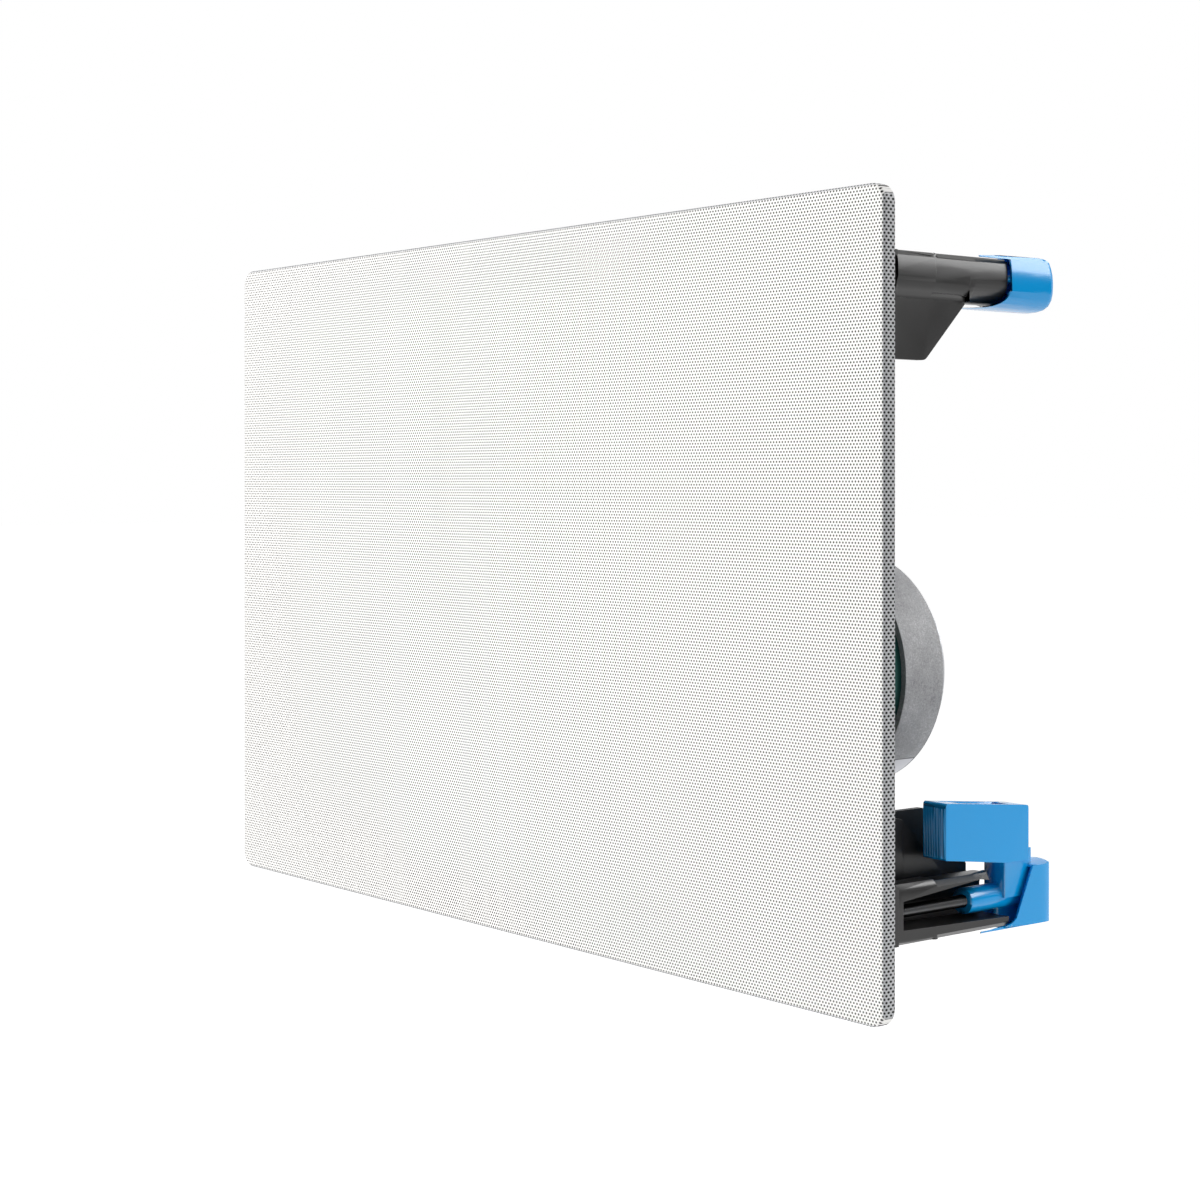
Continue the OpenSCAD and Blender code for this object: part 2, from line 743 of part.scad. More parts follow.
// Rubber half roll between two flat lands
module woofer_surround(s) color([0.06, 0.06, 0.06]) at_woofer(s) turned() {
  r0 = cone_r;
  r1 = cone_r + roll_w;
  mid = (r0 + r1) / 2;
  y0 = y_flange - land_t;
  polygon(concat([[r0 - edge_land, y_flange], [r0 - edge_land, y0]],
    arc([mid, y0], roll_w / 2, roll_h, 180, 360, 16), [[r1 + edge_land, y0], [r1 + edge_land, y_flange]],
    arc([mid, y_flange], roll_w / 2 - land_t, roll_h, 360, 180, 16)));
}

function cone_front(r) = y_flange + cone_wall + (cone_r - edge_land - r)
  * cone_deep / (cone_r - edge_land - coil_out);
coil_out = coil_r + former_t;

module woofer_cone(s) color([0.2, 0.2, 0.21]) at_woofer(s) turned() polygon([
  [cone_r, y_flange], [cone_r, y_flange + cone_wall], [cone_r - edge_land, y_flange + 2 * cone_wall],
  [coil_out + cone_neck_t, cone_front(coil_out + cone_neck_t) + cone_wall],
  [coil_out + cone_neck_t, cone_front(coil_out) + cone_neck_len],
  [coil_out, cone_front(coil_out) + cone_neck_len],
  [coil_out, cone_front(coil_out)], [cone_r - edge_land, y_flange + cone_wall],
  [cone_r - edge_land, y_flange]]);

module woofer_cap(s) color([0.14, 0.14, 0.15]) at_woofer(s) turned() {
  base = cone_front(cap_r);
  polygon(concat(arc([0, base], cap_r, cap_h, 0, -90, 12),
    arc([0, base], cap_r - cap_wall, cap_h - cap_wall, -90, 0, 12)));
}

// Former with the winding that hangs in the gap
module voice_coil(s) color([0.72, 0.45, 0.2]) at_woofer(s) turned() {
  w0 = y_plate - winding_over;
  w1 = y_magnet + winding_over;
  polygon([[coil_r, cone_front(coil_out) - cone_wall], [coil_out, cone_front(coil_out) - cone_wall],
    [coil_out, w0],
    [coil_out + winding_t, w0], [coil_out + winding_t, w1], [coil_r, w1]]);
}

// Corrugated cloth disc that centres the coil
module spider(s) color([0.75, 0.62, 0.32]) at_woofer(s) turned() {
  y0 = tray_depth + shelf_depth;
  r0 = coil_out + spider_lands;
  r1 = shelf_in;
  n = spider_waves * wave_steps;
  wave = [for (i = [0 : n]) [r0 + (r1 - r0) * i / n, y0 - spider_wave * sin(360 * spider_waves * i / n)]];
  polygon(concat([[coil_out, y0]], wave, [[r1 + spider_lands, y0]], [[r1 + spider_lands, y0 - spider_t]],
    [for (i = [n : -1 : 0]) wave[i] - [0, spider_t]], [[coil_out, y0 - spider_t]]));
}

module front_plate(s) color([0.05, 0.2, 0.18]) at_woofer(s)
  ring(coil_out + winding_t + gap_w, plate_r, y_plate, y_magnet);

module ring_magnet(s) color([0.55, 0.55, 0.56]) at_woofer(s) ring(magnet_in, magnet_r, y_magnet, y_yoke);

// Back plate with the pole and its vent in one piece
module back_plate(s) color([0.75, 0.78, 0.8]) at_woofer(s) turned() polygon([
  [vent_r, y_plate], [coil_r - pole_gap, y_plate], [coil_r - pole_gap, y_yoke],
  [yoke_r - yoke_chamfer, y_yoke],
  [yoke_r, y_yoke + yoke_chamfer], [yoke_r, y_rear - yoke_chamfer], [yoke_r - yoke_chamfer, y_rear],
  [vent_r + yoke_chamfer, y_rear], [vent_r, y_rear - yoke_chamfer]]);

module pan_screw(r, head_r, head_t, y0, len) {
  disc(r, y0, y0 + len);
  difference() {
    disc(head_r, y0 - head_t, y0);
    for (a = [0, 90]) rotate([0, a, 0])
      block([-head_r / 2, y0 - head_t - over, -recess_w / 2], [head_r / 2, y0 - head_t / 2, recess_w / 2]);
  }
}

module woofer_screws(s) color([0.1, 0.1, 0.1]) at_woofer(s)
  round_about(driver_screws, driver_screw_ring)
    pan_screw(driver_screw_r, driver_head_r, driver_head_t, y_flange, driver_screw_len);

// Board with two solder tags on the basket's shelf
module woofer_tags(s) color([0.5, 0.33, 0.16]) at_woofer(s) {
  y0 = y_plate - hub_t;
  block([-tag_board_w / 2, y0, hub_r], [tag_board_w / 2, y0 + tag_board_t, tag_shelf_out]);
  for (x = [-1, 1]) block([x * tag_apart - tag_w / 2, y0 + tag_board_t, tag_shelf_out - tag_out],
    [x * tag_apart + tag_w / 2, y0 + tag_board_t + tag_t, tag_shelf_out]);
}

// Faceplate with a shallow horn, and a rear ring that the motor is glued to
module tweeter_faceplate() color([0.11, 0.11, 0.12]) at_tweeter() difference() {
  turned() polygon([
    [throat_r, y_flange + horn_throat], [horn_r, y_flange], [tweeter_r, y_flange], [tweeter_r, tray_depth],
    [tweeter_magnet_r, tray_depth], [tweeter_magnet_r, tweeter_stack], [tweeter_land_in, tweeter_stack],
    [tweeter_land_in, tray_depth], [throat_r, tray_depth]]);
  round_about(tweeter_screw_n, tweeter_screw_ring)
    disc(tweeter_screw_r + driver_hole_gap, y_flange - over, tray_depth + over);
}

tweeter_coil_out = dome_r + tweeter_gap;

// Soft dome with its roll and the coil behind it
module tweeter_dome() color([0.15, 0.15, 0.16]) at_tweeter() turned() {
  roll = (roll_r - dome_r) / 2;
  polygon(concat(arc([0, dome_base], dome_r, dome_h, -90, 0, 10),
    arc([dome_r + roll, dome_base], roll, roll, 180, 360, 8), [[roll_r, dome_base + dome_wall / 2]],
    arc([dome_r + roll, dome_base + dome_wall / 2], roll - dome_wall, roll - dome_wall, 360, 180, 8),
    [[dome_r + dome_wall / 2, dome_base + tweeter_coil_len],
      [dome_r - dome_wall, dome_base + tweeter_coil_len]],
    arc([0, dome_base], dome_r - dome_wall, dome_h - dome_wall, 0, -90, 10)));
}

module tweeter_front_plate() color([0.55, 0.56, 0.58]) at_tweeter()
  ring(tweeter_coil_out + dome_wall, tweeter_plate_r, tweeter_stack, tweeter_stack + tweeter_plate_t);

y_tweeter_magnet = tweeter_stack + tweeter_plate_t;
y_tweeter_yoke = y_tweeter_magnet + tweeter_magnet_t;
y_chamber = y_tweeter_yoke + tweeter_yoke_t;

module tweeter_magnet() color([0.3, 0.3, 0.31]) at_tweeter()
  ring(tweeter_magnet_in, tweeter_magnet_r, y_tweeter_magnet, y_tweeter_yoke);

module tweeter_back_plate() color([0.55, 0.56, 0.58]) at_tweeter() turned() {
  pole_r = dome_r - dome_wall - tweeter_gap;
  polygon([[vent_r, tweeter_stack], [pole_r, tweeter_stack], [pole_r, y_tweeter_yoke],
    [tweeter_yoke_r, y_tweeter_yoke], [tweeter_yoke_r, y_chamber], [vent_r, y_chamber]]);
}

module tweeter_chamber() color([0.09, 0.09, 0.1]) at_tweeter() turned() {
  y1 = y_chamber + chamber_deep;
  polygon([[chamber_r - chamber_wall, y_chamber], [chamber_r, y_chamber], [chamber_r, y1 - chamber_wall],
    [chamber_r - chamber_wall, y1], [0, y1], [0, y1 - chamber_wall],
    [chamber_r - chamber_wall, y1 - chamber_wall]]);
}

// Two solder tags on an insulating strip
module tweeter_tags() color([0.5, 0.33, 0.16]) at_tweeter() {
  block([-tweeter_tag_half, y_chamber, tweeter_tag_in],
    [tweeter_tag_half, y_chamber + tweeter_board_t, tweeter_tag_out]);
  for (x = [-1, 1]) block([x * tweeter_tag_apart - tag_w / 2, y_chamber + tweeter_board_t, tweeter_tag_in],
    [x * tweeter_tag_apart + tag_w / 2, y_chamber + tweeter_board_t + tag_t, tweeter_tag_out]);
}

module tweeter_screws() color([0.1, 0.1, 0.1]) at_tweeter()
  round_about(tweeter_screw_n, tweeter_screw_ring)
    pan_screw(tweeter_screw_r, tweeter_head_r, tweeter_head_t, y_flange, tweeter_screw_len);

module crossover_board() color([0.08, 0.3, 0.18]) difference() {
  block([board_x - board_w / 2, y_board, board_z - board_h / 2],
    [board_x + board_w / 2, y_parts, board_z + board_h / 2]);
  at_points(board_posts) disc(board_screw_r + board_screw_gap, y_board - over, y_parts + over);
}

module at_board(share)
  translate([board_x + share[0] * board_w, 0, board_z + share[1] * board_h]) children();

// Air coils: flat bobbins with the winding between their cheeks
module crossover_coils() color([0.75, 0.42, 0.18]) for (k = [0, 1]) at_board(coil_places_share[k]) {
  cheek = coil_len[k] / 8;
  turned() polygon([
    [coil_in_r[k], y_parts], [coil_out_r[k], y_parts], [coil_out_r[k], y_parts + cheek],
    [coil_out_r[k] - cheek, y_parts + cheek], [coil_out_r[k] - cheek, y_parts + coil_len[k] - cheek],
    [coil_out_r[k], y_parts + coil_len[k] - cheek], [coil_out_r[k], y_parts + coil_len[k]],
    [coil_in_r[k], y_parts + coil_len[k]]]);
}

module lying(r, len) translate([0, y_parts + r, 0]) rotate([0, 90, 0]) rotate_extrude() children();

module film_capacitors() color([0.8, 0.68, 0.2]) for (p = film_places_share) at_board(p)
  lying(film_r) polygon([[0, -film_len / 2], [film_r - can_groove, -film_len / 2],
    [film_r, can_groove - film_len / 2],
    [film_r, film_len / 2 - can_groove], [film_r - can_groove, film_len / 2], [0, film_len / 2]]);

module round_capacitors() color([0.1, 0.12, 0.3]) for (p = can_places_share) at_board(p)
  lying(can_r) polygon([[0, -can_len / 2], [can_r, -can_len / 2],
    [can_r, can_len / 2 - can_lip - 2 * can_groove],
    [can_r - can_groove, can_len / 2 - can_lip - can_groove], [can_r, can_len / 2 - can_lip],
    [can_r, can_len / 2],
    [0, can_len / 2]]);

module resistors() color([0.88, 0.87, 0.82]) for (p = brick_places_share) at_board(p)
  block([-brick_w / 2, y_parts, -brick_h / 2], [brick_w / 2, y_parts + brick_h, brick_h / 2]);

// Screws that enter from the rear, with their heads on the board
module rear_screw(y0, len) mirror([0, 1, 0]) pan_screw(board_screw_r, board_head_r, board_head_t, -y0, len);

module board_screws() color("silver") at_points(board_posts) rear_screw(y_parts, board_screw_len);

module button_outline(grow) square([button_w + 2 * grow, button_h + 2 * grow], center = true);

button_places = [for (x = [-1, 1]) [block_x + x * button_apart / 2, block_z + button_rise]];

module terminal_block() color([0.1, 0.1, 0.1]) {
  y1 = y_back + block_deep;
  difference() {
    union() {
      translate([block_x, 0, block_z]) along_y(y_back, y1) rounded_rect(block_w, block_h, block_round);
      translate([block_x, 0, block_z]) along_y(y_back, y_back + ear_t)
        rounded_rect(block_w + 2 * ear_w, ear_w + ear_t, block_round);
    }
    at_points(button_places) along_y(y1 - button_deep, y1 + over) button_outline(button_gap);
    at_points(button_places) translate([0, 0, -button_rise - wire_hole_drop])
      disc(wire_hole_r, y1 - wire_hole_deep, y1 + over);
    at_points(block_holes) disc(ear_hole_r, y_back - over, y_back + ear_t + over);
  }
}

// Button with a fingertip hollow in its end
module push_button(k) at_points([button_places[k]]) difference() {
  along_y(y_back + block_deep - button_deep + push_travel + button_gap,
    y_back + block_deep + button_out) button_outline(0);
  translate([0, y_back + block_deep + button_out + button_w - button_cup, 0]) sphere(button_w);
}

module push_button_red() color([0.7, 0.08, 0.07]) push_button(1);
module push_button_black() color([0.12, 0.12, 0.12]) push_button(0);

module block_screws() color("silver") at_points(block_holes) rear_screw(y_back + ear_t, block_screw_len);

// A lead: smooth curve through the route's points, swept with a small polygon
function spline(p, i, t) = let (a = p[max(i - 1, 0)], b = p[i], c = p[i + 1], d = p[min(i + 2, len(p) - 1)])
  0.5 * (2 * b + t * (c - a) + t * t * (2 * a - 5 * b + 4 * c - d) + t * t * t * (3 * b - a - 3 * c + d));
function smooth(p) = concat([for (i = [0 : len(p) - 2], k = [0 : lead_steps - 1])
  spline(p, i, k / lead_steps)],
  [p[len(p) - 1]]);
function unit(v) = v / norm(v);
function heading(q, i, tip) = i == 0 ? [0, 1, 0] : i == len(q) - 1 ? tip : unit(q[i + 1] - q[i - 1]);
function lead_ring(c, h) = let (a = unit(cross(h, [0.1, 0.2, 1])), b = cross(h, a))
  [for (k = [0 : lead_sides - 1])
    c + lead_r * (cos(360 * k / lead_sides) * a + sin(360 * k / lead_sides) * b)];

module lead(route, tip) {
  q = smooth(route);
  n = len(q);
  m = lead_sides;
  polyhedron(
    points = [for (i = [0 : n - 1]) each lead_ring(q[i], heading(q, i, tip))],
    faces = concat([[for (k = [m - 1 : -1 : 0]) k]], [[for (k = [0 : m - 1]) (n - 1) * m + k]],
      [for (i = [0 : n - 2], k = [0 : m - 1]) let (j = (k + 1) % m)
        [i * m + k, i * m + j, (i + 1) * m + j, (i + 1) * m + k]]));
}

module leads_black() color([0.06, 0.06, 0.06]) for (r = BLACK_ROUTES) lead(r[0], r[1]);
module leads_red() color([0.65, 0.06, 0.05]) for (r = RED_ROUTES) lead(r[0], r[1]);

grille();
grille_cloth();
grille_magnets();
frame_flange();
frame();
clamp_towers();
clamp_arm(0);  // clamp_arm_lr
clamp_screw(0);  // clamp_screw_lr
clamp_ring(0);  // clamp_ring_lr
clamp_arm(1);  // clamp_arm_ur
clamp_screw(1);  // clamp_screw_ur
clamp_ring(1);  // clamp_ring_ur
clamp_arm(2);  // clamp_arm_ul
clamp_screw(2);  // clamp_screw_ul
clamp_ring(2);  // clamp_ring_ul
clamp_arm(3);  // clamp_arm_ll
clamp_screw(3);  // clamp_screw_ll
clamp_ring(3);  // clamp_ring_ll
woofer_basket(1);  // woofer_basket_r
woofer_surround(1);  // woofer_surround_r
woofer_cone(1);  // woofer_cone_r
woofer_cap(1);  // woofer_cap_r
voice_coil(1);  // voice_coil_r
spider(1);  // spider_r
front_plate(1);  // front_plate_r
ring_magnet(1);  // ring_magnet_r
back_plate(1);  // back_plate_r
woofer_screws(1);  // woofer_screws_r
woofer_tags(1);  // woofer_tags_r
woofer_basket(-1);  // woofer_basket_l
woofer_surround(-1);  // woofer_surround_l
woofer_cone(-1);  // woofer_cone_l
woofer_cap(-1);  // woofer_cap_l
voice_coil(-1);  // voice_coil_l
spider(-1);  // spider_l
front_plate(-1);  // front_plate_l
ring_magnet(-1);  // ring_magnet_l
back_plate(-1);  // back_plate_l
woofer_screws(-1);  // woofer_screws_l
woofer_tags(-1);  // woofer_tags_l
tweeter_faceplate();
tweeter_dome();
tweeter_front_plate();
tweeter_magnet();
tweeter_back_plate();
tweeter_chamber();
tweeter_tags();
tweeter_screws();
crossover_board();
crossover_coils();
film_capacitors();
round_capacitors();
resistors();
board_screws();
terminal_block();
push_button_red();
push_button_black();
block_screws();
leads_red();
leads_black();
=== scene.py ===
# In-wall loudspeaker: finishes, threads and studio around the imported solids.
# Lengths are metres, X along the long side, Y into the wall, Z up.
import json
import math

import bmesh
import bpy
import numpy as np
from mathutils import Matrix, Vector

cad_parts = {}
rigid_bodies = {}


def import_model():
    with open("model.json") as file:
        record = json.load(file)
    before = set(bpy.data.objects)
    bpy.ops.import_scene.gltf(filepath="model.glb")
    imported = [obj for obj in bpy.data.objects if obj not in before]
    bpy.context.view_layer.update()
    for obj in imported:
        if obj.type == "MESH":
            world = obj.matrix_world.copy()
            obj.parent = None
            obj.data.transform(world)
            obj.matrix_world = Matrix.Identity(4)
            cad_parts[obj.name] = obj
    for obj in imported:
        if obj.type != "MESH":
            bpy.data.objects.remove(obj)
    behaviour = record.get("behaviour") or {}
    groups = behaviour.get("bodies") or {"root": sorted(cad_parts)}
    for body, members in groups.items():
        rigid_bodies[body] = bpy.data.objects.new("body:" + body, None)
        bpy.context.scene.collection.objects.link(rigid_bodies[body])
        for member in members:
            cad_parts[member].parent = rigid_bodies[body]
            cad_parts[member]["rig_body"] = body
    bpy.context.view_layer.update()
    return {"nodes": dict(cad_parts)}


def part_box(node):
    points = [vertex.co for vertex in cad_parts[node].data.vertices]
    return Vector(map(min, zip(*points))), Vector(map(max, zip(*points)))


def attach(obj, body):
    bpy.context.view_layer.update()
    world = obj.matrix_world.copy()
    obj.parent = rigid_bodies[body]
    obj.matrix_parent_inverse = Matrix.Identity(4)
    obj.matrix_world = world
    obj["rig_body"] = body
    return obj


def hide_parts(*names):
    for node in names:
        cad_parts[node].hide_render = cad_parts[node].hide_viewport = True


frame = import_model()
nodes = frame["nodes"]
mm = 0.001
print("frame loaded:", len(nodes), "nodes")


# Studio

camera = {
    "place": (648.2 * mm, -485.9 * mm, 36.4 * mm),
    "turn": 51.04,  # degrees to the left of looking along +Y
    "focalPixels": 2253,
    "horizonPixel": 482.1,
    "imagePixels": 1200,
    "sensor": 36.0,
}


def makeCamera(spec):
    data = bpy.data.cameras.new("photoCamera")
    data.sensor_width = spec["sensor"]
    data.sensor_fit = "HORIZONTAL"
    data.lens = spec["focalPixels"] / spec["imagePixels"] * spec["sensor"]
    data.shift_y = (spec["horizonPixel"] - spec["imagePixels"] / 2) / spec["imagePixels"]
    data.clip_start = 0.01
    made = bpy.data.objects.new("photoCamera", data)
    made.location = spec["place"]
    made.rotation_euler = (math.radians(90), 0, math.radians(spec["turn"]))
    bpy.context.scene.collection.objects.link(made)
    bpy.context.scene.camera = made


# Shader sums: a Wire is one output or value, and an expression adds the Math nodes it needs

class Wire:
    def __init__(self, graph, socket):
        self.graph = graph
        self.socket = socket

    def math(self, operation, *others, clamp=False):
        made = self.graph.node("ShaderNodeMath", {"operation": operation, "use_clamp": clamp}, [self, *others])
        return made

    def __add__(self, other):
        return self.math("ADD", other)

    __radd__ = __add__

    def __sub__(self, other):
        return self.math("SUBTRACT", other)

    def __rsub__(self, other):
        return self.graph.node("ShaderNodeMath", {"operation": "SUBTRACT"}, [other, self])

    def __mul__(self, other):
        return self.math("MULTIPLY", other)

    __rmul__ = __mul__

    def __truediv__(self, other):
        return self.math("DIVIDE", other)

    def __abs__(self):
        return self.math("ABSOLUTE")

    def above(self, edge, soft):
        # 0 below edge - soft, 1 above edge + soft
        return ((self - (edge - soft)) / (2 * soft)).math("ADD", 0.0, clamp=True)

    def below(self, edge, soft):
        return 1 - self.above(edge, soft)

    def fold(self, period):
        # distance from the middle of the period it lies in
        return abs(self.math("WRAP", period / 2, -period / 2))


class Graph:
    def __init__(self, name):
        self.material = bpy.data.materials.new(name)
        self.material.use_nodes = True
        self.tree = self.material.node_tree
        self.tree.nodes.clear()

    def node(self, kind, settings, sockets, output=0):
        # settings are set first, then each socket gets a value or a link
        made = self.tree.nodes.new(kind)
        for key, value in settings.items():
            if key == "stops":
                while len(made.color_ramp.elements) < len(value):
                    made.color_ramp.elements.new(0.5)
                for element, (place, colour) in zip(made.color_ramp.elements, value):
                    element.position = place
                    element.color = (*colour, 1)
            else:
                setattr(made, key, value)
        pairs = sockets.items() if isinstance(sockets, dict) else enumerate(sockets)
        for key, value in pairs:
            if isinstance(value, Wire):
                self.tree.links.new(value.socket, made.inputs[key])
            else:
                made.inputs[key].default_value = value
        return Wire(self, made.outputs[output])

    def place(self):
        # object coordinates as three wires, in metres
        position = self.node("ShaderNodeTexCoord", {}, {}, "Object")
        return [self.node("ShaderNodeSeparateXYZ", {}, {0: position}, i) for i in range(3)], position

    def noise(self, position, size, detail=4, stretch=(1, 1, 1), rough=0.55):
        mapped = self.node("ShaderNodeMapping", {}, {"Vector": position, "Scale": stretch})
        return self.node("ShaderNodeTexNoise", {}, {"Vector": mapped, "Scale": 1 / size, "Detail": detail,
                                                    "Roughness": rough}, "Fac")

    def speckle(self, position, size, stretch=(1, 1, 1)):
        mapped = self.node("ShaderNodeMapping", {}, {"Vector": position, "Scale": stretch})
        return self.node("ShaderNodeTexVoronoi", {}, {"Vector": mapped, "Scale": 1 / size}, "Distance")

    def blend(self, share, low, high):
        # colour from low to high
        low = low if isinstance(low, Wire) else (*low, 1)
        high = high if isinstance(high, Wire) else (*high, 1)
        return self.node("ShaderNodeMix", {"data_type": "RGBA"}, {0: share, 6: low, 7: high}, 2)

    def bump(self, height, depth, normal=None, strength=1.0):
        sockets = {"Height": height, "Distance": depth, "Strength": strength}
        if normal is not None:
            sockets["Normal"] = normal
        return self.node("ShaderNodeBump", {}, sockets)

    def soften(self, radius):
        return self.node("ShaderNodeBevel", {"samples": 4}, {"Radius": radius})

    def finish(self, **sockets):
        shader = self.tree.nodes.new("ShaderNodeBsdfPrincipled")
        for key, value in sockets.items():
            key = key.replace("_", " ")
            if isinstance(value, Wire):
                self.tree.links.new(value.socket, shader.inputs[key])
            elif key == "Base Color" or key == "Emission Color":
                shader.inputs[key].default_value = (*value, 1)
            else:
                shader.inputs[key].default_value = value
        target = self.tree.nodes.new("ShaderNodeOutputMaterial")
        self.tree.links.new(shader.outputs[0], target.inputs["Surface"])
        return self.material


def paint(material, *names):
    for name in names:
        slots = nodes[name].data.materials
        slots.clear()
        slots.append(material)


# Grille: white powder coat on steel, perforated in staggered rows

grille = {
    "half": (186 * mm, 125 * mm),  # half width and half height
    "bend": 1.2 * mm,
    "face": -4.8 * mm,  # front face along Y
    "alongRow": 1.31 * mm,
    "rowPitch": 1.016 * mm,
    "hole": 0.325 * mm,
    "edge": 0.04 * mm,
    "coat": (0.90, 0.89, 0.87),
    "coatShadedPastBend": (0.52, 0.525, 0.54),  # painted shade: the same coat, drawn darker and a little cooler past the bend, where the sides face away from the lamps
    "wall": (0.03, 0.021, 0.016),  # the hole's own wall, in shade
    # the hole's dark core: the black cloth behind, darkened further as painted shade in the hole's depth
    "dark": (0.004, 0.004, 0.004),
    "stretch": 1.42,  # bending draws the holes and their spacing out along the depth
}


def grilleMaterial(spec):
    g = Graph("grillePowderCoat")
    (x, y, z), position = g.place()
    # distance along the sheet from its middle: what lies past the bend counts its depth too, drawn out by the bend
    halfX, halfZ = spec["half"]
    bend = spec["bend"]
    depth = (y - spec["face"]).math("MAXIMUM", 0.0)
    onSide = abs(x).above(halfX - bend * 0.6, 0.15 * mm)
    nearBend = abs(x).above(halfX - bend * 1.3, 0.1 * mm)
    onTop = abs(z).above(halfZ - bend * 0.6, 0.15 * mm)
    u = abs(x) + depth * onSide / spec["stretch"]
    v = abs(z) + depth * onTop / spec["stretch"]
    bent = onSide.math("MAXIMUM", onTop)
    spacing, pitch = spec["alongRow"], spec["rowPitch"] * 2

    def toHole(a, b):
        du = a.fold(spacing)
        dv = b.fold(pitch)
        return (du * du + dv * dv).math("SQRT")

    distance = toHole(u, v).math("MINIMUM", toHole(u + spacing / 2, v + pitch / 2))
    distance = distance * (1 - bent * 0.06 - nearBend * 0.08)
    opening = distance.below(spec["hole"], spec["edge"])
    # holes are painted, not cut: the wall colour is painted shade on the hole's wall, and the core is the black cloth
    # behind darkened as painted shade; on and near the bend the whole hole takes the dark core, painted shade for holes
    # seen at a slant
    core = (distance.below(spec["hole"] * 0.7, spec["hole"] * 0.25) + bent + nearBend).math("MINIMUM", 1.0)
    grain = g.noise(position, 0.35 * mm, 3)
    cloud = g.noise(position, 60 * mm, 2)
    # past the bend the coat colour is painted darker: painted shade on the sides that face away from the lamps
    coat = g.blend(bent, g.blend(cloud, spec["coat"], [c * 0.98 for c in spec["coat"]]), spec["coatShadedPastBend"])
    inside = g.blend(core, spec["wall"], spec["dark"])
    colour = g.blend(opening, coat, inside)
    rim = distance.below(spec["hole"] * 1.25, spec["hole"] * 0.25)
    normal = g.bump(grain * 0.1 - rim, 0.04 * mm)
    return g.finish(Base_Color=colour, Roughness=0.45 + opening * 0.4, Normal=normal, Specular_IOR_Level=0.3)


# Finishes of the other pieces

def plasticMaterial(name, colour, rough, grainSize, grainDepth, soft=0.35 * mm, variation=0.12, coat=0.0):
    g = Graph(name)
    _, position = g.place()
    grain = g.noise(position, grainSize, 4)
    cloud = g.noise(position, 25 * mm, 3)
    shade = g.blend(cloud, [c * (1 - variation) for c in colour], [c * (1 + variation) for c in colour])
    normal = g.bump(grain, grainDepth, g.soften(soft))
    return g.finish(Base_Color=shade, Roughness=rough + (cloud - 0.5) * 0.12, Normal=normal, Coat_Weight=coat)


def metalMaterial(name, colour, rough, brush=0.0, metallic=1.0):
    g = Graph(name)
    _, position = g.place()
    grain = g.noise(position, 0.4 * mm, 4, (1, 14, 1) if brush else (1, 1, 1))
    cloud = g.noise(position, 12 * mm, 4)
    shade = g.blend(cloud, [c * 0.82 for c in colour], colour)
    normal = g.bump(grain, (0.01 + brush) * mm, g.soften(0.2 * mm))
    return g.finish(Base_Color=shade, Roughness=rough + (cloud - 0.5) * 0.2, Metallic=metallic, Normal=normal)


def weaveMaterial(name, colour, pitch, depth, axes=(0, 2)):
    g = Graph(name)
    wires, position = g.place()
    a, b = wires[axes[0]], wires[axes[1]]
    warp = (a * (2 * math.pi / pitch)).math("SINE")
    weft = (b * (2 * math.pi / pitch)).math("SINE")
    thread = warp * weft
    fuzz = g.noise(position, 0.8 * mm, 5)
    # darker where the threads dip: painted shade in the hollows of the weave; the fuzz is the yarn's own tone
    shade = g.blend((thread * 0.5 + 0.5) * 0.7 + fuzz * 0.3, [c * 0.45 for c in colour], colour)
    return g.finish(Base_Color=shade, Roughness=0.85, Normal=g.bump(thread + fuzz * 0.5, depth))


def ferriteMaterial():
    g = Graph("ferrite")
    _, position = g.place()
    fine = g.noise(position, 0.55 * mm, 6, rough=0.7)
    sand = g.speckle(position, 1.1 * mm)
    cloud = g.noise(position, 14 * mm, 4)
    shade = g.node("ShaderNodeValToRGB", {"stops": [(0.3, (0.13, 0.13, 0.135)), (0.45, (0.31, 0.31, 0.318)),
                                                    (0.55, (0.40, 0.40, 0.408)), (0.66, (0.60, 0.60, 0.61))]},
                   {0: fine * 0.62 + cloud * 0.34 + (1 - sand) * 0.06})
    return g.finish(Base_Color=shade, Roughness=0.62, Normal=g.bump(fine + sand * 0.3, 0.05 * mm, g.soften(0.3 * mm)))


def coneMaterial():
    g = Graph("conePulp")
    _, position = g.place()
    fibre = g.noise(position, 1.6 * mm, 7, rough=0.7)
    cloud = g.noise(position, 9 * mm, 4)
    shade = g.blend(fibre * 0.7 + cloud * 0.3, (0.012, 0.012, 0.013), (0.055, 0.055, 0.058))
    return g.finish(Base_Color=shade, Roughness=0.7, Normal=g.bump(fibre, 0.12 * mm))


def windingMaterial(name, wirePitch, wire, bobbin=None, cheeks=None):
    # turns of wire along Y, with the bobbin's cheeks outside the two heights in cheeks
    g = Graph(name)
    (x, y, z), position = g.place()
    turn = (y * (2 * math.pi / wirePitch)).math("SINE")
    cloud = g.noise(position, 4 * mm, 3)
    # darker between the turns: painted shade in the grooves between the round wires, over the copper's own colour
    shade = g.blend(turn * 0.35 + 0.4 + cloud * 0.3, [c * 0.35 for c in wire], wire)
    rough, metal = 0.32, 0.85
    if cheeks:
        out = y.below(cheeks[0], 0.05 * mm) + y.above(cheeks[1], 0.05 * mm)
        shade = g.blend(out, shade, bobbin)
        metal = 0.85 - out * 0.85
    return g.finish(Base_Color=shade, Roughness=rough, Metallic=metal, Normal=g.bump(turn, wirePitch * 0.3))


print("materials ready")

makeCamera(camera)


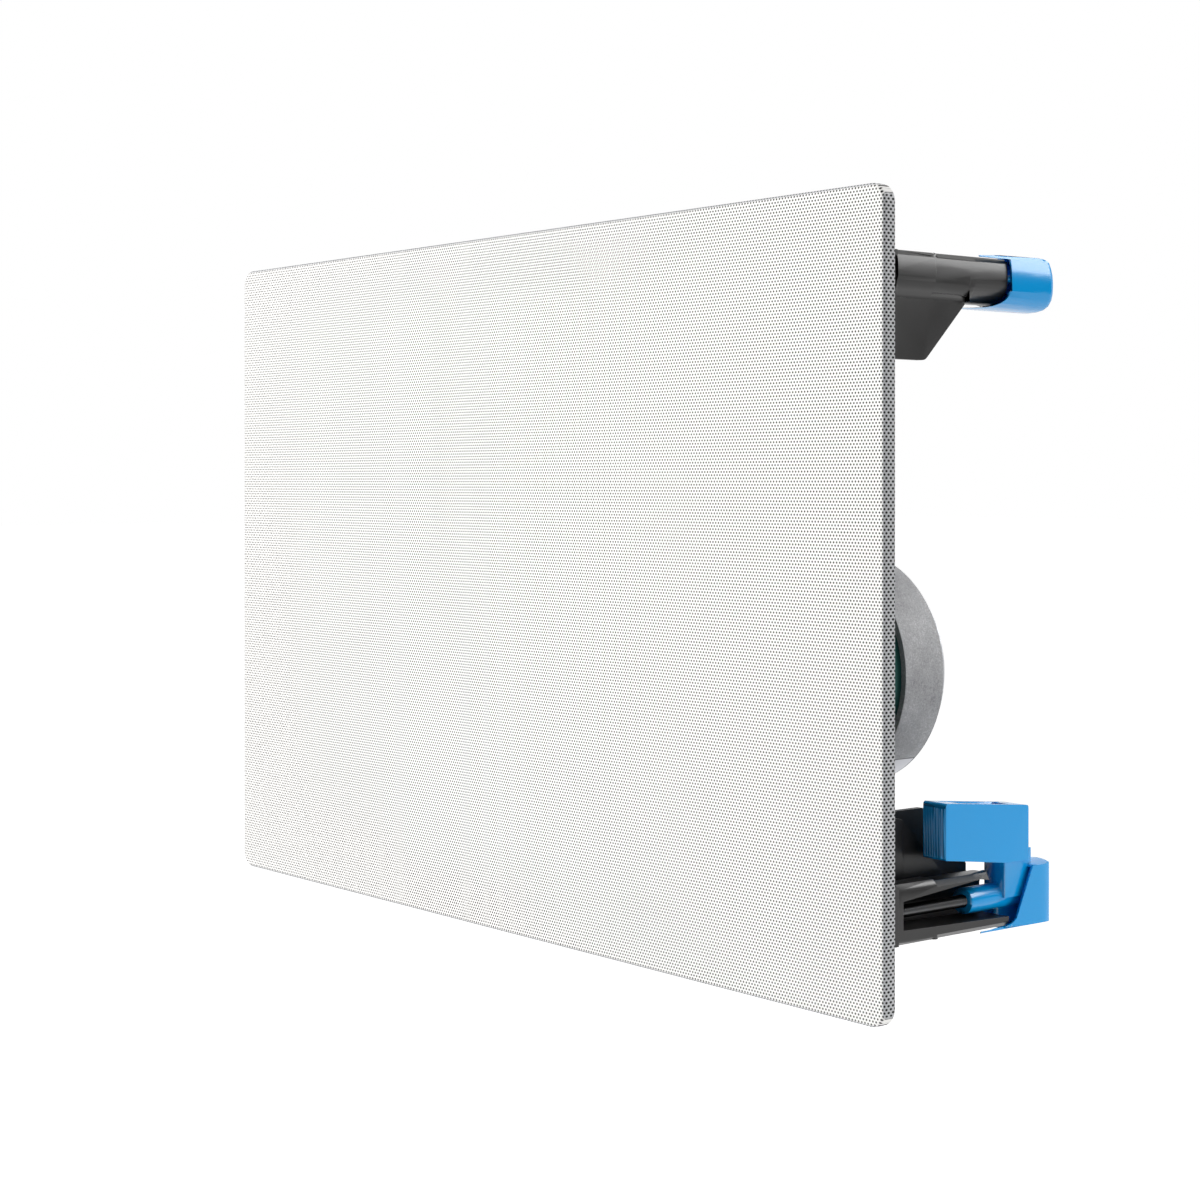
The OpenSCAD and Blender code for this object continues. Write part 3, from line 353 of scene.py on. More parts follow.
def tagMaterial(name, split):
    # phenolic board below the height split along Y, tinned tags above it
    g = Graph(name)
    (x, y, z), position = g.place()
    tinned = y.above(split, 0.05 * mm)
    fibre = g.noise(position, 1.2 * mm, 5, (1, 1, 5))
    board = g.blend(fibre, (0.10, 0.045, 0.018), (0.20, 0.10, 0.04))
    shade = g.blend(tinned, board, (0.72, 0.72, 0.70))
    return g.finish(Base_Color=shade, Roughness=0.5 - tinned * 0.2, Metallic=tinned * 0.95,
                    Normal=g.bump(fibre, 0.04 * mm, g.soften(0.15 * mm)))


def boardMaterial():
    g = Graph("crossoverBoard")
    (x, y, z), position = g.place()
    weave = (x * (2 * math.pi / (1.1 * mm))).math("SINE") * (z * (2 * math.pi / (1.1 * mm))).math("SINE")
    # broad copper fields under the mask, split by clear gaps
    field = g.speckle(position, 9 * mm)
    track = field.above(0.28, 0.01)
    shade = g.blend(track, (0.012, 0.085, 0.035), (0.02, 0.17, 0.07))
    return g.finish(Base_Color=shade, Roughness=0.38, Normal=g.bump(weave * 0.15 + track, 0.05 * mm, g.soften(0.15 * mm)))


def sleeveMaterial(name, colour, end, ends, rough=0.3, other=None):
    # sleeve between the two ends along X; outside them the can's metal or the epoxy shows
    g = Graph(name)
    (x, y, z), position = g.place()
    out = x.below(ends[0], 0.08 * mm) + x.above(ends[1], 0.08 * mm)
    cloud = g.noise(position, 6 * mm, 3)
    shade = g.blend(out, g.blend(cloud, [c * 0.85 for c in colour], colour), end)
    return g.finish(Base_Color=shade, Roughness=rough, Metallic=out * (0.9 if other == "metal" else 0.0),
                    Normal=g.bump(cloud, 0.1 * mm, g.soften(0.3 * mm)))


# Which finish each solid takes
clampNames = ("lr", "ur", "ul", "ll")
sides = ("r", "l")

darkPlastic = plasticMaterial("framePlastic", (0.012, 0.0115, 0.0115), 0.3, 0.35 * mm, 0.012 * mm, 0.15 * mm)
bluePlastic = plasticMaterial("clampBlue", (0.002, 0.34, 0.78), 0.15, 1.2 * mm, 0.004 * mm, 0.12 * mm, 0.03, 0.0)
blackSteel = metalMaterial("blackSteel", (0.05, 0.05, 0.052), 0.38)
zincSteel = metalMaterial("zincSteel", (0.62, 0.64, 0.66), 0.32, 0.01)
paintedSteel = plasticMaterial("basketPaint", (0.007, 0.007, 0.008), 0.5, 0.3 * mm, 0.02 * mm)
rubber = plasticMaterial("rubber", (0.018, 0.018, 0.018), 0.58, 0.2 * mm, 0.01 * mm, 0.1 * mm)
greenPlate = metalMaterial("greenPlate", (0.01, 0.075, 0.065), 0.35, 0.0, 0.6)
ferrite = ferriteMaterial()
pulp = coneMaterial()
tweeterPlastic = plasticMaterial("tweeterPlastic", (0.03, 0.03, 0.032), 0.5, 0.3 * mm, 0.02 * mm)

paint(grilleMaterial(grille), "grille")
paint(weaveMaterial("grilleCloth", (0.03, 0.03, 0.03), 0.7 * mm, 0.1 * mm), "grille_cloth")
paint(zincSteel, "grille_magnets", "tweeter_front_plate", "tweeter_back_plate", "board_screws", "block_screws",
      *["clamp_ring_" + c for c in clampNames], *["back_plate_" + s for s in sides])
paint(darkPlastic, *[n for n in ("frame", "frame_flange", "clamp_towers") if n in nodes])
paint(bluePlastic, *["clamp_arm_" + c for c in clampNames])
paint(blackSteel, "tweeter_screws", *["clamp_screw_" + c for c in clampNames], *["woofer_screws_" + s for s in sides])
paint(paintedSteel, *["woofer_basket_" + s for s in sides])
paint(rubber, *["woofer_surround_" + s for s in sides], *["woofer_cap_" + s for s in sides])
paint(pulp, *["woofer_cone_" + s for s in sides])
paint(windingMaterial("voiceCoil", 0.45 * mm, (0.75, 0.36, 0.14)), *["voice_coil_" + s for s in sides])
paint(weaveMaterial("spiderCloth", (0.52, 0.36, 0.12), 0.9 * mm, 0.12 * mm), *["spider_" + s for s in sides])
paint(greenPlate, *["front_plate_" + s for s in sides])
paint(ferrite, "tweeter_magnet", *["ring_magnet_" + s for s in sides])
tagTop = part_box("woofer_tags_r")[1].y
paint(tagMaterial("wooferTags", tagTop - 0.8 * mm), *["woofer_tags_" + s for s in sides])
paint(tagMaterial("tweeterTags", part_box("tweeter_tags")[1].y - 0.8 * mm), "tweeter_tags")
paint(tweeterPlastic, "tweeter_faceplate", "tweeter_chamber")
paint(weaveMaterial("domeSilk", (0.035, 0.035, 0.037), 0.35 * mm, 0.03 * mm), "tweeter_dome")
paint(boardMaterial(), "crossover_board")
coilLow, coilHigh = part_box("crossover_coils")
paint(windingMaterial("crossoverWinding", 1.0 * mm, (0.75, 0.34, 0.12), (0.03, 0.03, 0.03),
                      (coilLow.y + 1.7 * mm, coilHigh.y - 4.4 * mm)), "crossover_coils")
filmLow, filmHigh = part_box("film_capacitors")
paint(sleeveMaterial("filmWrap", (0.78, 0.52, 0.07), (0.5, 0.36, 0.09), (filmLow.x + 1.2 * mm, filmHigh.x - 1.2 * mm)),
      "film_capacitors")
canLow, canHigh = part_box("round_capacitors")
paint(sleeveMaterial("canSleeve", (0.015, 0.03, 0.16), (0.7, 0.7, 0.7), (canLow.x + 0.6 * mm, canHigh.x), other="metal"),
      "round_capacitors")
paint(plasticMaterial("ceramicBody", (0.80, 0.78, 0.71), 0.75, 0.5 * mm, 0.08 * mm, 0.3 * mm, 0.05), "resistors")
paint(plasticMaterial("blockPlastic", (0.03, 0.03, 0.031), 0.4, 0.4 * mm, 0.015 * mm), "terminal_block")
paint(plasticMaterial("buttonRed", (0.55, 0.02, 0.018), 0.28, 0.8 * mm, 0.01 * mm), "push_button_red")
paint(plasticMaterial("buttonBlack", (0.025, 0.025, 0.026), 0.28, 0.8 * mm, 0.01 * mm), "push_button_black")
paint(plasticMaterial("leadRed", (0.5, 0.02, 0.018), 0.35, 1.5 * mm, 0.02 * mm), "leads_red")
paint(plasticMaterial("leadBlack", (0.02, 0.02, 0.02), 0.35, 1.5 * mm, 0.02 * mm), "leads_black")
print("solids painted")


# Rounded solids: a merged copy of the node, smooth but for its real edges

bodyOf = {name: solid["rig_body"] for name, solid in nodes.items()}


def takeOver(piece, *names):
    bpy.context.scene.collection.objects.link(piece)
    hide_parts(*names)
    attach(piece, bodyOf[names[0]])
    return piece


def smoothCopy(name, angle=32, reshape=None):
    source = nodes[name].data
    shape = bmesh.new()
    shape.from_mesh(source)
    bmesh.ops.remove_doubles(shape, verts=shape.verts, dist=0.002 * mm)
    bmesh.ops.dissolve_degenerate(shape, edges=shape.edges, dist=0.001 * mm)
    if reshape:
        reshape(shape)
    mesh = bpy.data.meshes.new(name + "_smooth")
    shape.to_mesh(mesh)
    shape.free()
    mesh.materials.append(source.materials[0])
    mesh.polygons.foreach_set("use_smooth", np.ones(len(mesh.polygons), bool))
    mesh.set_sharp_from_angle(angle=math.radians(angle))
    piece = takeOver(bpy.data.objects.new(name + "_smooth", mesh), name)
    weighted = piece.modifiers.new("faceWeighted", "WEIGHTED_NORMAL")
    weighted.keep_sharp = True
    return piece


def cut(shape, point, normal):
    # a ring of new edges where the plane crosses
    bmesh.ops.bisect_plane(shape, geom=shape.verts[:] + shape.edges[:] + shape.faces[:], dist=0.0005 * mm,
                           plane_co=point, plane_no=normal)


def moveAll(shape, change):
    points = np.array([v.co for v in shape.verts])
    for vertex, place in zip(shape.verts, change(points)):
        vertex.co = place


# Clamp arms: the hood's rear end is a shallow dome, its flanks draw in towards the open side

clamps = {
    "lr": (170 * mm, -95 * mm, 0),
    "ur": (166.5 * mm, 100.8 * mm, -90),
    "ul": (-170 * mm, 95 * mm, 180),
    "ll": (-166.5 * mm, -100.8 * mm, 90),
}
hood = {
    "back": 12 * mm,  # where the towers start along Y
    "outer": 10.2 * mm,
    "shoulder": 63.5 * mm,
    "rear": 72.4 * mm,
    "round": 6.4 * mm,
    "sharper": 9.0,
    "domeRadius": 17 * mm,
    "domeShift": 0.8 * mm,
    "domeBehind": 0.64,  # the dome is flatter on the side away from the opening
    "edgeDrop": 0.6 * mm,
    "squareness": 3.6,
    "behind": 0.96,
    "openSide": 7.2 * mm,
    "flankDraw": 0.9 * mm,
    "tailTip": 36.5 * mm,
    "tailFull": 49 * mm,
    "tailDraw": 0.75 * mm,
}


def toClamp(name, points):
    # b towards the open side, a across, y along the screw from the tower's foot
    x0, z0, degrees = clamps[name]
    turn = math.radians(degrees)
    dx, dz = points[:, 0] - x0, points[:, 2] - z0
    return (dx * math.sin(turn) + dz * math.cos(turn), dx * math.cos(turn) - dz * math.sin(turn),
            points[:, 1] - hood["back"])


def fromClamp(name, a, b, y):
    x0, z0, degrees = clamps[name]
    turn = math.radians(degrees)
    return np.stack([x0 + b * math.cos(turn) + a * math.sin(turn), y + hood["back"],
                     z0 - b * math.sin(turn) + a * math.cos(turn)], -1)


def cutAcross(shape, name, places):
    # cuts square to b at each of the places
    for b in places:
        point, ahead = fromClamp(name, np.zeros(2), np.array([b, b + 1.0]), np.zeros(2))
        cut(shape, point, ahead - point)


def squarer(a, b, power):
    # factor that turns a circle into |a|^p + |b|^p = r^p
    r = np.hypot(a, b) + 1e-9
    return (np.abs(a / r) ** power + np.abs(b / r) ** power) ** (-1 / power)


def squareBack(which, a, b, power, behind):
    factor = np.where(which & (a < 0) & (b < 0), squarer(a, b, power), 1.0)
    flatter = np.where(which & (b < 0), 1 - (1 - behind) * np.clip((10.4 * mm - a) / (5 * mm), 0, 1), 1.0)
    return a * factor, b * factor * flatter


def dressArm(name):
    def change(points):
        a, b, y = toClamp(name, points)
        # rear end: the section keeps its size further back, then the edge drops with b along an arc
        t = np.clip((y - hood["shoulder"]) / (hood["rear"] - hood["shoulder"]), 0, 1)

        def drawIn(power):
            return hood["round"] * (1 - np.clip(1 - t ** power, 0, 1) ** 0.42)

        grow = (hood["outer"] - drawIn(2.38 * hood["sharper"])) / (hood["outer"] - drawIn(2.38))
        a, b = a * grow, b * grow
        arc = (np.where(b > 0, b, b * hood["domeBehind"]) + hood["domeShift"]) ** 2 / (2 * hood["domeRadius"])
        y = y - t * arc - hood["edgeDrop"] * t * (1 - np.clip((t - 0.975) / 0.025, 0, 1))
        # flanks of the hood draw in towards the open side
        isHood = (np.hypot(a, b) > 9.1 * mm) & (np.abs(a) < 10.4 * mm) & (y > 30 * mm)
        a = a - np.sign(a) * isHood * (np.abs(a) > 8.9 * mm) * hood["flankDraw"] * np.clip(b / hood["openSide"], 0, 1) ** 2
        # the tail on the open side thins out towards its tip
        share = np.clip((y - hood["tailTip"]) / (hood["tailFull"] - hood["tailTip"]), 0, 1)
        b = b - ((b > 6.9 * mm) & (np.abs(a) < 10.4 * mm) & (y < hood["tailFull"])) * hood["tailDraw"] * (1 - share ** 0.7)
        # the back corner away from the foot is squarer than a circle
        a, b = squareBack(isHood, a, b, hood["squareness"], np.where(np.hypot(a, b) > 9.7 * mm, hood["behind"], 1.0))
        return fromClamp(name, a, b, y)

    def reshape(shape):
        cutAcross(shape, name, np.array([0.2, 0.4, 0.6, 0.8]) * hood["openSide"])
        moveAll(shape, change)

    return smoothCopy("clamp_arm_" + name, 40, reshape)


# Clamp towers: the flank away from the foot is barrelled and stands proud of the gusset below it

tower = {
    "radius": 9 * mm,
    "openSide": 6 * mm,
    "footGrow": 1.03,
    "behind": 0.91,
    "drawOpen": 0.7 * mm,
    "least": 6.9 * mm,
    "lip": -8.2 * mm,
    "gussetInside": 6.7 * mm,
    "gussetBack": 2.2 * mm,
    "tipRise": 0.5 * mm,
    "tipFall": 1.1 * mm,
    "underTail": 34.8 * mm,  # from here back the corner is rounder, so the hood's tail passes it as the arm swings
    "underHood": 2.4,
    "endGap": 0.5 * mm,
}


def dressTowers():
    r = tower["radius"]

    def changeOne(name, points):
        a, b, y = toClamp(name, points)
        near = (np.abs(a) < 30 * mm) & (b > -30 * mm) & (b < 7 * mm)
        side = near & (a < 0)
        flank = side & (a < -r + 0.1 * mm) & (b >= tower["lip"] - 0.005 * mm) & (a > -r - 0.6 * mm)
        below = side & (b < tower["lip"] - 0.005 * mm) & (a < -tower["gussetInside"]) & (a > -r - 0.6 * mm)
        back = near & ~flank & ~below & (b < 0) & (np.abs(np.hypot(a, b) - r) < 0.15 * mm)
        power = hood["squareness"]
        barrel = r * np.clip(1 - np.clip(-b / r / tower["behind"], 0, 1) ** power, 0, 1) ** (1 / power)
        barrel = np.maximum(barrel - tower["drawOpen"] * np.clip(b / tower["openSide"], 0, 1) ** 2, tower["least"])
        a = np.where(flank, -barrel * np.where(a < -r - 0.25 * mm, tower["footGrow"], 1.0), a)
        a = np.where(below, a + tower["gussetBack"], a)
        a, b = squareBack(back, a, b, np.where(y < tower["underTail"], hood["squareness"], tower["underHood"]), tower["behind"])
        y = y - near * (y > 50.5 * mm) * tower["endGap"]
        # blunt tip of the short wall beside the opening
        tip = near & (a > 8.95 * mm) & (a < 9.05 * mm) & (y > 41 * mm) & (y < 41.4 * mm) & (b > 2 * mm)
        tipLow = near & (a > 7.7 * mm) & (a < 7.9 * mm) & (y > 41 * mm) & (y < 41.4 * mm)
        a = a + tip * tower["tipRise"] - tipLow * tower["tipFall"]
        moved = fromClamp(name, a, b, y)
        return np.where(near[:, None], moved, points)

    def reshape(shape):
        for name in clampNames:
            cutAcross(shape, name, [tower["lip"] - 0.02 * mm, tower["lip"], *(np.array([-7.2, -6, -4.5, -3, -1.5, 1.5, 3, 4.5]) * mm)])
        for y in (34.5 * mm, 35.5 * mm):
            cut(shape, (0, hood["back"] + y, 0), (0, 1, 0))
        for name in clampNames:
            moveAll(shape, lambda points: changeOne(name, points))

    smoothCopy("clamp_towers", 30, reshape)


for c in clampNames:
    dressArm(c)
dressTowers()
print("clamp arms and towers dressed")


# Body of the moulding: its rear outer edge is bevelled, and the towers stand on wedges there

body = {
    "half": (176 * mm, 110 * mm),
    "rear": 12 * mm,
    "bevel": 2.4 * mm,
    "towerHalf": 9 * mm,
}


def dressBody():
    halfX, halfZ = body["half"]
    low = body["rear"] - body["bevel"]

    def change(points):
        inX = halfX - np.abs(points[:, 0])
        inZ = halfZ - np.abs(points[:, 2])
        edge = (np.abs(points[:, 1] - body["rear"]) < 0.01 * mm) & (np.minimum(inX, inZ) < 1.6 * mm)
        moved = points.copy()
        moved[:, 0] -= np.sign(points[:, 0]) * edge * body["bevel"] * np.clip(1 - inX / (5 * mm), 0, 1)
        moved[:, 2] -= np.sign(points[:, 2]) * edge * body["bevel"] * np.clip(1 - inZ / (5 * mm), 0, 1)
        return moved

    def reshape(shape):
        cut(shape, (0, low, 0), (0, 1, 0))
        moveAll(shape, change)

    smoothCopy("frame", 35, reshape)
    # wedge: a right triangle run across the tower's width
    points, faces = [], []
    for c, (x0, z0, degrees) in clamps.items():
        turn = math.radians(degrees)
        out = 6 * mm
        for k, (b, y) in enumerate([(out - body["bevel"], body["rear"]), (out, body["rear"]), (out, low)]):
            for a in (-body["towerHalf"], body["towerHalf"]):
                points.append((x0 + b * math.cos(turn) + a * math.sin(turn), y, z0 - b * math.sin(turn) + a * math.cos(turn)))
        n = len(points) - 6
        faces += [(n, n + 2, n + 4), (n + 1, n + 5, n + 3), (n, n + 1, n + 3, n + 2), (n + 2, n + 3, n + 5, n + 4),
                  (n + 4, n + 5, n + 1, n)]
    mesh = bpy.data.meshes.new("tower_wedges")
    mesh.from_pydata(points, [], faces)
    shape = bmesh.new()
    shape.from_mesh(mesh)
    bmesh.ops.recalc_face_normals(shape, faces=shape.faces)
    shape.to_mesh(mesh)
    shape.free()
    mesh.materials.append(darkPlastic)
    piece = bpy.data.objects.new("tower_wedges", mesh)
    bpy.context.scene.collection.objects.link(piece)
    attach(piece, bodyOf["frame"])


dressBody()
smoothCopy("frame_flange", 35)

for name in ["tweeter_dome", "tweeter_faceplate", "tweeter_chamber", "tweeter_magnet", "leads_red", "leads_black",
             *[kind + s for s in sides for kind in ("woofer_basket_", "woofer_surround_", "woofer_cone_", "woofer_cap_",
                                                   "spider_", "front_plate_", "ring_magnet_", "back_plate_")]]:
    smoothCopy(name)
print("rounded solids smoothed")


# Clamp screws: a rolled thread up to a pan head with a cross recess

screw = {
    "outer": 2.0 * mm,
    "root": 1.62 * mm,
    "pitch": 0.9 * mm,
    "rowsPerPitch": 8,
    "around": 28,
    "headRadius": 3.5 * mm,
    "headHeight": 2.6 * mm,
    "slotHalf": 0.45 * mm,
    "slotReach": 2.0 * mm,
    "slotDeep": 1.4 * mm,
}


def gridFaces(rows, columns, closed=True):
    # quads between neighbouring rows; the last column meets the first when closed
    a = np.arange(rows - 1)[:, None] * columns
    b = np.arange(columns if closed else columns - 1)[None, :]
    c = (b + 1) % columns
    return np.stack([a + b, a + columns + b, a + columns + c, a + c], -1).reshape(-1, 4)


def meshFrom(name, points, faces, smooth=True):
    mesh = bpy.data.meshes.new(name)
    mesh.from_pydata(points, [], faces.tolist() if isinstance(faces, np.ndarray) else faces)
    if smooth:
        mesh.polygons.foreach_set("use_smooth", np.ones(len(mesh.polygons), bool))
    mesh.validate()
    return mesh


def threadedScrew(spec, axis, low, high):
    # shank: radius = root + depth x a rounded tooth of (length / pitch - angle / turn), faded out at both ends
    headEnd = low + spec["headHeight"]
    rows = int((high - headEnd) / spec["pitch"] * spec["rowsPerPitch"])
    y = np.linspace(headEnd, high, rows)[:, None]
    angle = np.linspace(0, 2 * math.pi, spec["around"], endpoint=False)[None, :]
    phase = (y / spec["pitch"] - angle / (2 * math.pi)) % 1
    tooth = np.clip(1.25 - 2.5 * np.abs(phase - 0.5), 0, 1)
    fade = np.clip((high - y) / (1.5 * spec["pitch"]), 0, 1) * np.clip((y - headEnd) / (2 * spec["pitch"]), 0, 1)
    radius = spec["root"] + (spec["outer"] - spec["root"]) * (tooth * fade + (1 - np.clip((y - headEnd) / spec["pitch"], 0, 1)))
    radius = np.minimum(radius, spec["outer"])
    shank = np.stack([radius * np.cos(angle), np.broadcast_to(y, radius.shape), radius * np.sin(angle)], -1)
    # head: rings from the shank out over the rim and in over the dome, where the cross is pressed in
    share = np.concatenate([[0.99, 1.0, 1.0, 0.97], np.linspace(0.93, 0.0, 22)])
    lift = np.concatenate([[0.0, 0.05, 0.62, 0.74], 0.74 + 0.26 * np.cos(np.linspace(0.93, 0, 22) / 0.93 * math.pi / 2)])
    around = 4 * spec["around"] // 2
    turn = np.linspace(0, 2 * math.pi, around, endpoint=False)[None, :]
    r = (share * spec["headRadius"])[:, None]
    x, z = r * np.cos(turn), r * np.sin(turn)
    near, far = np.minimum(np.abs(x), np.abs(z)), np.maximum(np.abs(x), np.abs(z))
    press = np.clip((spec["slotHalf"] - near) / (0.12 * mm), 0, 1) * np.clip((spec["slotReach"] - far) / (0.3 * mm), 0, 1)
    press = press * (share < 0.95)[:, None]
    top = headEnd - (lift * spec["headHeight"])[:, None] + press * spec["slotDeep"]
    head = np.stack([x, top, z], -1)
    head[-1] = head[-1].mean(0)
    # close the shank's far end and the head's flat side with a fan of rings
    tip = np.stack([0 * angle, np.full_like(angle, high), 0 * angle], -1)
    neck = np.stack([0 * turn, np.full_like(turn, headEnd), 0 * turn], -1)
    parts = [np.concatenate([shank, tip]), np.concatenate([neck, head])]
    faces, start = [], 0
    for index, part in enumerate(parts):
        f = gridFaces(part.shape[0], part.shape[1])
        faces.append((f if index == 0 else f[:, ::-1]) + start)
        start += part.shape[0] * part.shape[1]
    points = np.concatenate([p.reshape(-1, 3) for p in parts]) + np.array([axis[0], 0, axis[1]])
    return points, np.concatenate(faces)


threadMetal = metalMaterial("threadSteel", (0.07, 0.07, 0.072), 0.2)
for c in clampNames:
    node = "clamp_screw_" + c
    low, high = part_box(node)
    middle = ((low.x + high.x) / 2, (low.z + high.z) / 2)
    points, faces = threadedScrew(screw, middle, low.y, high.y)
    mesh = meshFrom(node + "_thread", points, faces)
    shape = bmesh.new()
    shape.from_mesh(mesh)
    bmesh.ops.remove_doubles(shape, verts=shape.verts, dist=0.0005 * mm)
    bmesh.ops.recalc_face_normals(shape, faces=shape.faces)
    shape.to_mesh(mesh)
    shape.free()
    mesh.set_sharp_from_angle(angle=math.radians(50))
    mesh.materials.append(threadMetal)
    takeOver(bpy.data.objects.new(node + "_thread", mesh), node)
print("clamp screws threaded")


# Cloth stretched behind the grille, cut to a rounded rectangle

scrim = {"corner": 8.3 * mm, "columns": 40, "rowsInCorner": 8, "rowsBetween": 20}


def stretchedCloth(spec, node):
    low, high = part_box(node)
    halfX, halfZ, corner = (high.x - low.x) / 2, (high.z - low.z) / 2, spec["corner"]
    # half width at height z = halfX, less corner - sqrt(corner^2 - (|z| - halfZ + corner)^2) inside the corners
    ends = halfZ - corner * (1 - np.sin(np.linspace(0, math.pi / 2, spec["rowsInCorner"])))
    z = np.concatenate([-ends[::-1], np.linspace(-ends[0], ends[0], spec["rowsBetween"])[1:-1], ends])
    into = np.clip(np.abs(z) - (halfZ - corner), 0, corner)
    half = halfX - corner + np.sqrt(np.maximum(corner ** 2 - into ** 2, 0))
    across = np.linspace(-1, 1, spec["columns"])
    x = half[:, None] * across[None, :]
    points = np.stack([x, np.full_like(x, (low.y + high.y) / 2), np.broadcast_to(z[:, None], x.shape)], -1)
    mesh = meshFrom(node + "_sheet", points.reshape(-1, 3), gridFaces(len(z), spec["columns"], False))
    mesh.materials.append(nodes[node].data.materials[0])
    piece = takeOver(bpy.data.objects.new(node + "_sheet", mesh), node)


stretchedCloth(scrim, "grille_cloth")
print("cloth stretched")


# Blank label on the right magnet's underside

label = {"from": 2, "to": 42.5, "inset": 0.7 * mm, "long": 17 * mm, "proud": 0.12 * mm, "edge": 0.35 * mm}


def labelMaterial(spec, low, high, radius, middle):
    g = Graph("labelPaper")
    (x, y, z), position = g.place()
    grain = g.noise(position, 0.3 * mm, 4)
    top = middle[1] - radius * math.cos(math.radians(spec["to"]))
    # dark band along the label's sides and top edge: painted shade where the label's edge stands off the magnet
    side = (y - low).math("MINIMUM", high - y).below(spec["edge"], 0.1 * mm)
    rim = (top - z).below(spec["edge"] * 0.5, 0.1 * mm)
    paintedEdgeShade = side.math("MAXIMUM", rim)
    colour = g.blend(paintedEdgeShade, g.blend(grain, (0.80, 0.80, 0.84), (0.88, 0.88, 0.92)), (0.12, 0.12, 0.13))
    return g.finish(Base_Color=colour, Roughness=0.5, Normal=g.bump(grain, 0.02 * mm, g.soften(0.1 * mm)))


def wrapLabel(spec, node):
    low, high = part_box(node)
    middle, radius = ((low.x + high.x) / 2, (low.z + high.z) / 2), (high.x - low.x) / 2
    angle = np.radians(np.linspace(spec["from"], spec["to"], 16))[:, None]
    start, end = low.y + spec["inset"], low.y + spec["inset"] + spec["long"]
    y = np.linspace(start, end, 6)[None, :]
    sheets = []
    for r in (radius + spec["proud"], radius + 0.01 * mm):
        sheets.append(np.stack([middle[0] + r * np.sin(angle) + 0 * y, y + 0 * angle, middle[1] - r * np.cos(angle) + 0 * y], -1).reshape(-1, 3))
    top = gridFaces(16, 6, False)
    edge = [k for k in range(6)] + [k * 6 + 5 for k in range(1, 16)] + [15 * 6 + k for k in range(4, -1, -1)] + [k * 6 for k in range(14, 0, -1)]
    rim = [(edge[k], edge[(k + 1) % len(edge)], edge[(k + 1) % len(edge)] + 96, edge[k] + 96) for k in range(len(edge))]
    mesh = bpy.data.meshes.new("magnet_label")
    mesh.from_pydata(np.concatenate(sheets), [], top.tolist() + (top[:, ::-1] + 96).tolist() + rim)
    shape = bmesh.new()
    shape.from_mesh(mesh)
    bmesh.ops.recalc_face_normals(shape, faces=shape.faces)
    shape.to_mesh(mesh)
    shape.free()
    mesh.materials.append(labelMaterial(spec, start, end, radius, middle))
    piece = bpy.data.objects.new("magnet_label", mesh)
    bpy.context.scene.collection.objects.link(piece)
    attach(piece, bodyOf[node])


wrapLabel(label, "ring_magnet_r")
print("label wrapped")


# Floor, backdrop and lamps

studio = {
    "floor": -0.6,  # height of the floor under the hanging part
    "floorColour": (0.68, 0.68, 0.68),
    "floorSeen": 0.92,  # added for camera and mirror rays only, so the open floor reads white and its shadow stays
    "world": 0.17,
    "lamps": [  # name, place, diameter, watts, aim
        ("windowLeft", (-1.5, -1.6, 0.9), 1.6, 39, (0, 0, 0)),
        ("frontSoft", (-0.5, -2.2, 0.3), 1.8, 26, (0, 0, 0)),
        ("topRear", (0.35, 0.45, 1.5), 1.0, 12, (0.15, 0.03, 0)),
        ("lowRight", (0.66, 0.1, -0.42), 0.4, 1.5, (0.18, 0.03, -0.1)),
        ("rearRight", (0.87, 0.99, 0.62), 0.62, 7.5, (0.17, 0.06, 0.1)),
    ],
    "screen": {"middle": (1.17, 1.24), "width": 1.1, "heights": (-0.02, 0.3), "colour": (0.02, 0.02, 0.02)},
}


def seenRays(g):
    # 1 for camera, mirror and glass rays, else 0
    first, *others = [g.node("ShaderNodeLightPath", {}, {}, name)
                      for name in ("Is Camera Ray", "Is Glossy Ray", "Is Transmission Ray")]
    return first.math("MAXIMUM", others[0]).math("MAXIMUM", others[1])


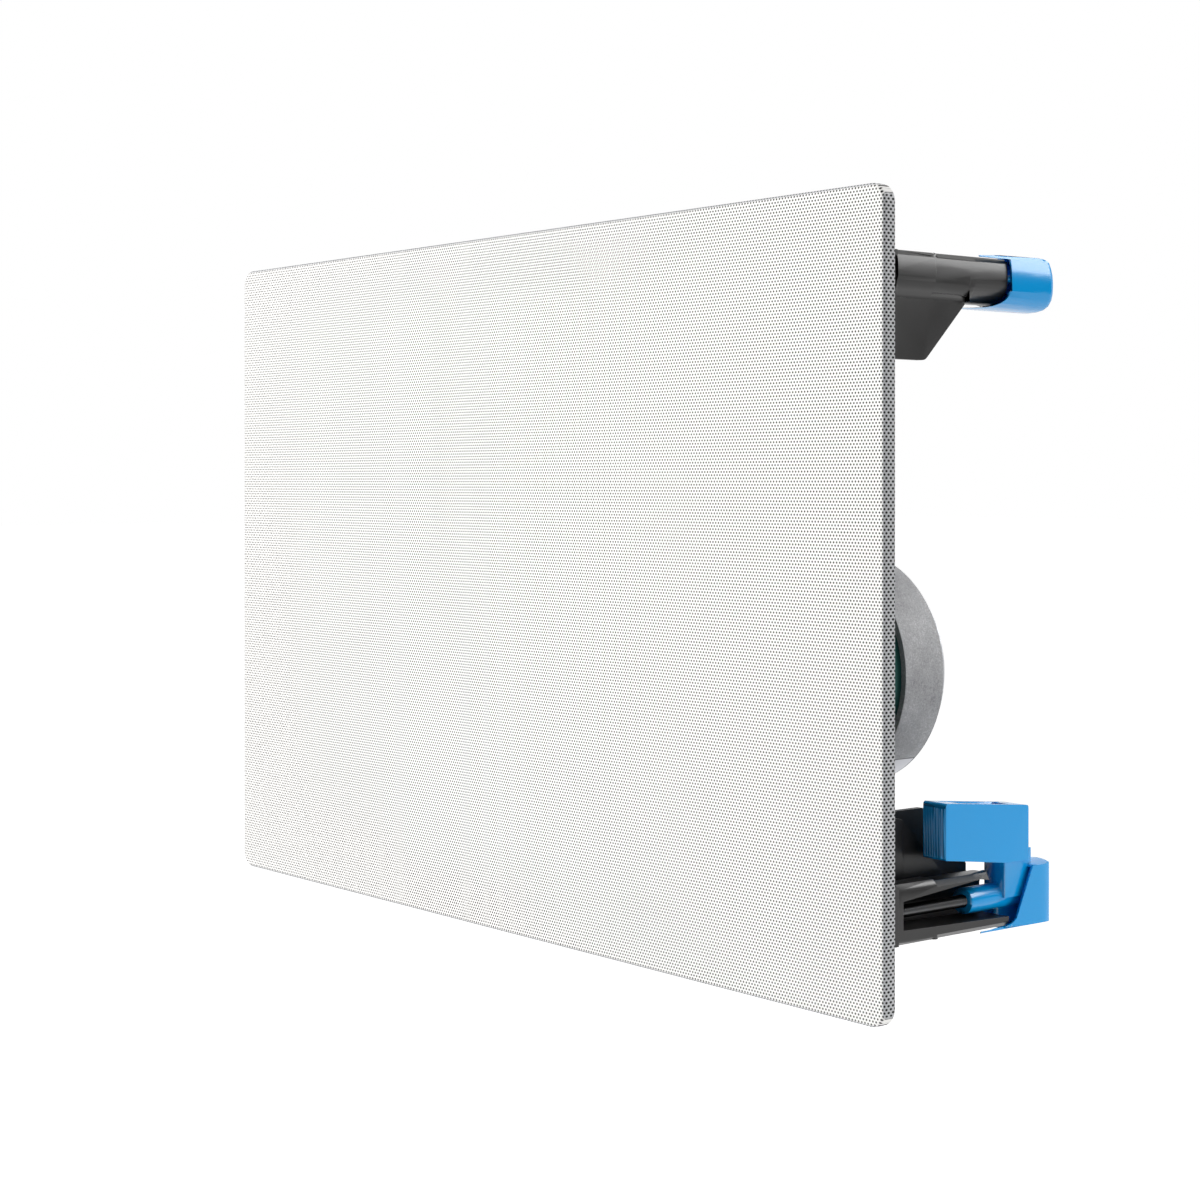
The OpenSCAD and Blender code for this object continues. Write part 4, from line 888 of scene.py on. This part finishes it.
def makeStudio(spec):
    world = bpy.data.worlds.new("studioWorld")
    bpy.context.scene.world = world
    world.use_nodes = True
    g = Graph.__new__(Graph)
    g.tree = world.node_tree
    g.tree.nodes.clear()
    seen = seenRays(g)
    sky = g.node("ShaderNodeBackground", {}, {"Color": (1, 1, 1, 1), "Strength": seen * (1 - spec["world"]) + spec["world"]})
    target = g.tree.nodes.new("ShaderNodeOutputWorld")
    g.tree.links.new(sky.socket, target.inputs["Surface"])

    size = 30.0
    mesh = bpy.data.meshes.new("floor")
    corners = np.array([[-1, -1], [1, -1], [1, 1], [-1, 1]], float) * size
    mesh.from_pydata([(a, b, spec["floor"]) for a, b in corners], [], [(0, 1, 2, 3)])
    floor = bpy.data.objects.new("floor", mesh)
    bpy.context.scene.collection.objects.link(floor)
    g = Graph("paleFloor")
    seen = seenRays(g)
    mesh.materials.append(g.finish(Base_Color=spec["floorColour"], Roughness=0.9, Specular_IOR_Level=0.0,
                                   Emission_Strength=1.0,
                                   Emission_Color=g.blend(seen, (0, 0, 0), [spec["floorSeen"]] * 3)))

    # dark screen beyond the right edge of the picture, so glossy flanks show a dark band between lamp and floor
    screen = spec["screen"]
    x, y = screen["middle"]
    across = np.array([-y, x]) / math.hypot(x, y) * screen["width"] / 2
    low, high = screen["heights"]
    mesh = bpy.data.meshes.new("screen")
    mesh.from_pydata([(x + k * across[0], y + k * across[1], h) for h in (low, high) for k in (-1, 1)], [], [(0, 1, 3, 2)])
    panel = bpy.data.objects.new("screen", mesh)
    bpy.context.scene.collection.objects.link(panel)
    mesh.materials.append(Graph("darkScreen").finish(Base_Color=screen["colour"], Roughness=0.9))

    for name, place, width, watts, aim in spec["lamps"]:
        data = bpy.data.lights.new(name, "AREA")
        data.shape = "DISK"
        data.size = width
        data.energy = watts
        lamp = bpy.data.objects.new(name, data)
        lamp.location = place
        away = np.array(place) - np.array(aim)
        away = away / np.linalg.norm(away)
        lamp.rotation_euler = (math.acos(away[2]), 0, math.atan2(away[1], away[0]) + math.pi / 2)
        bpy.context.scene.collection.objects.link(lamp)


makeStudio(studio)
bpy.context.scene.view_settings.view_transform = "Standard"
print("studio ready")
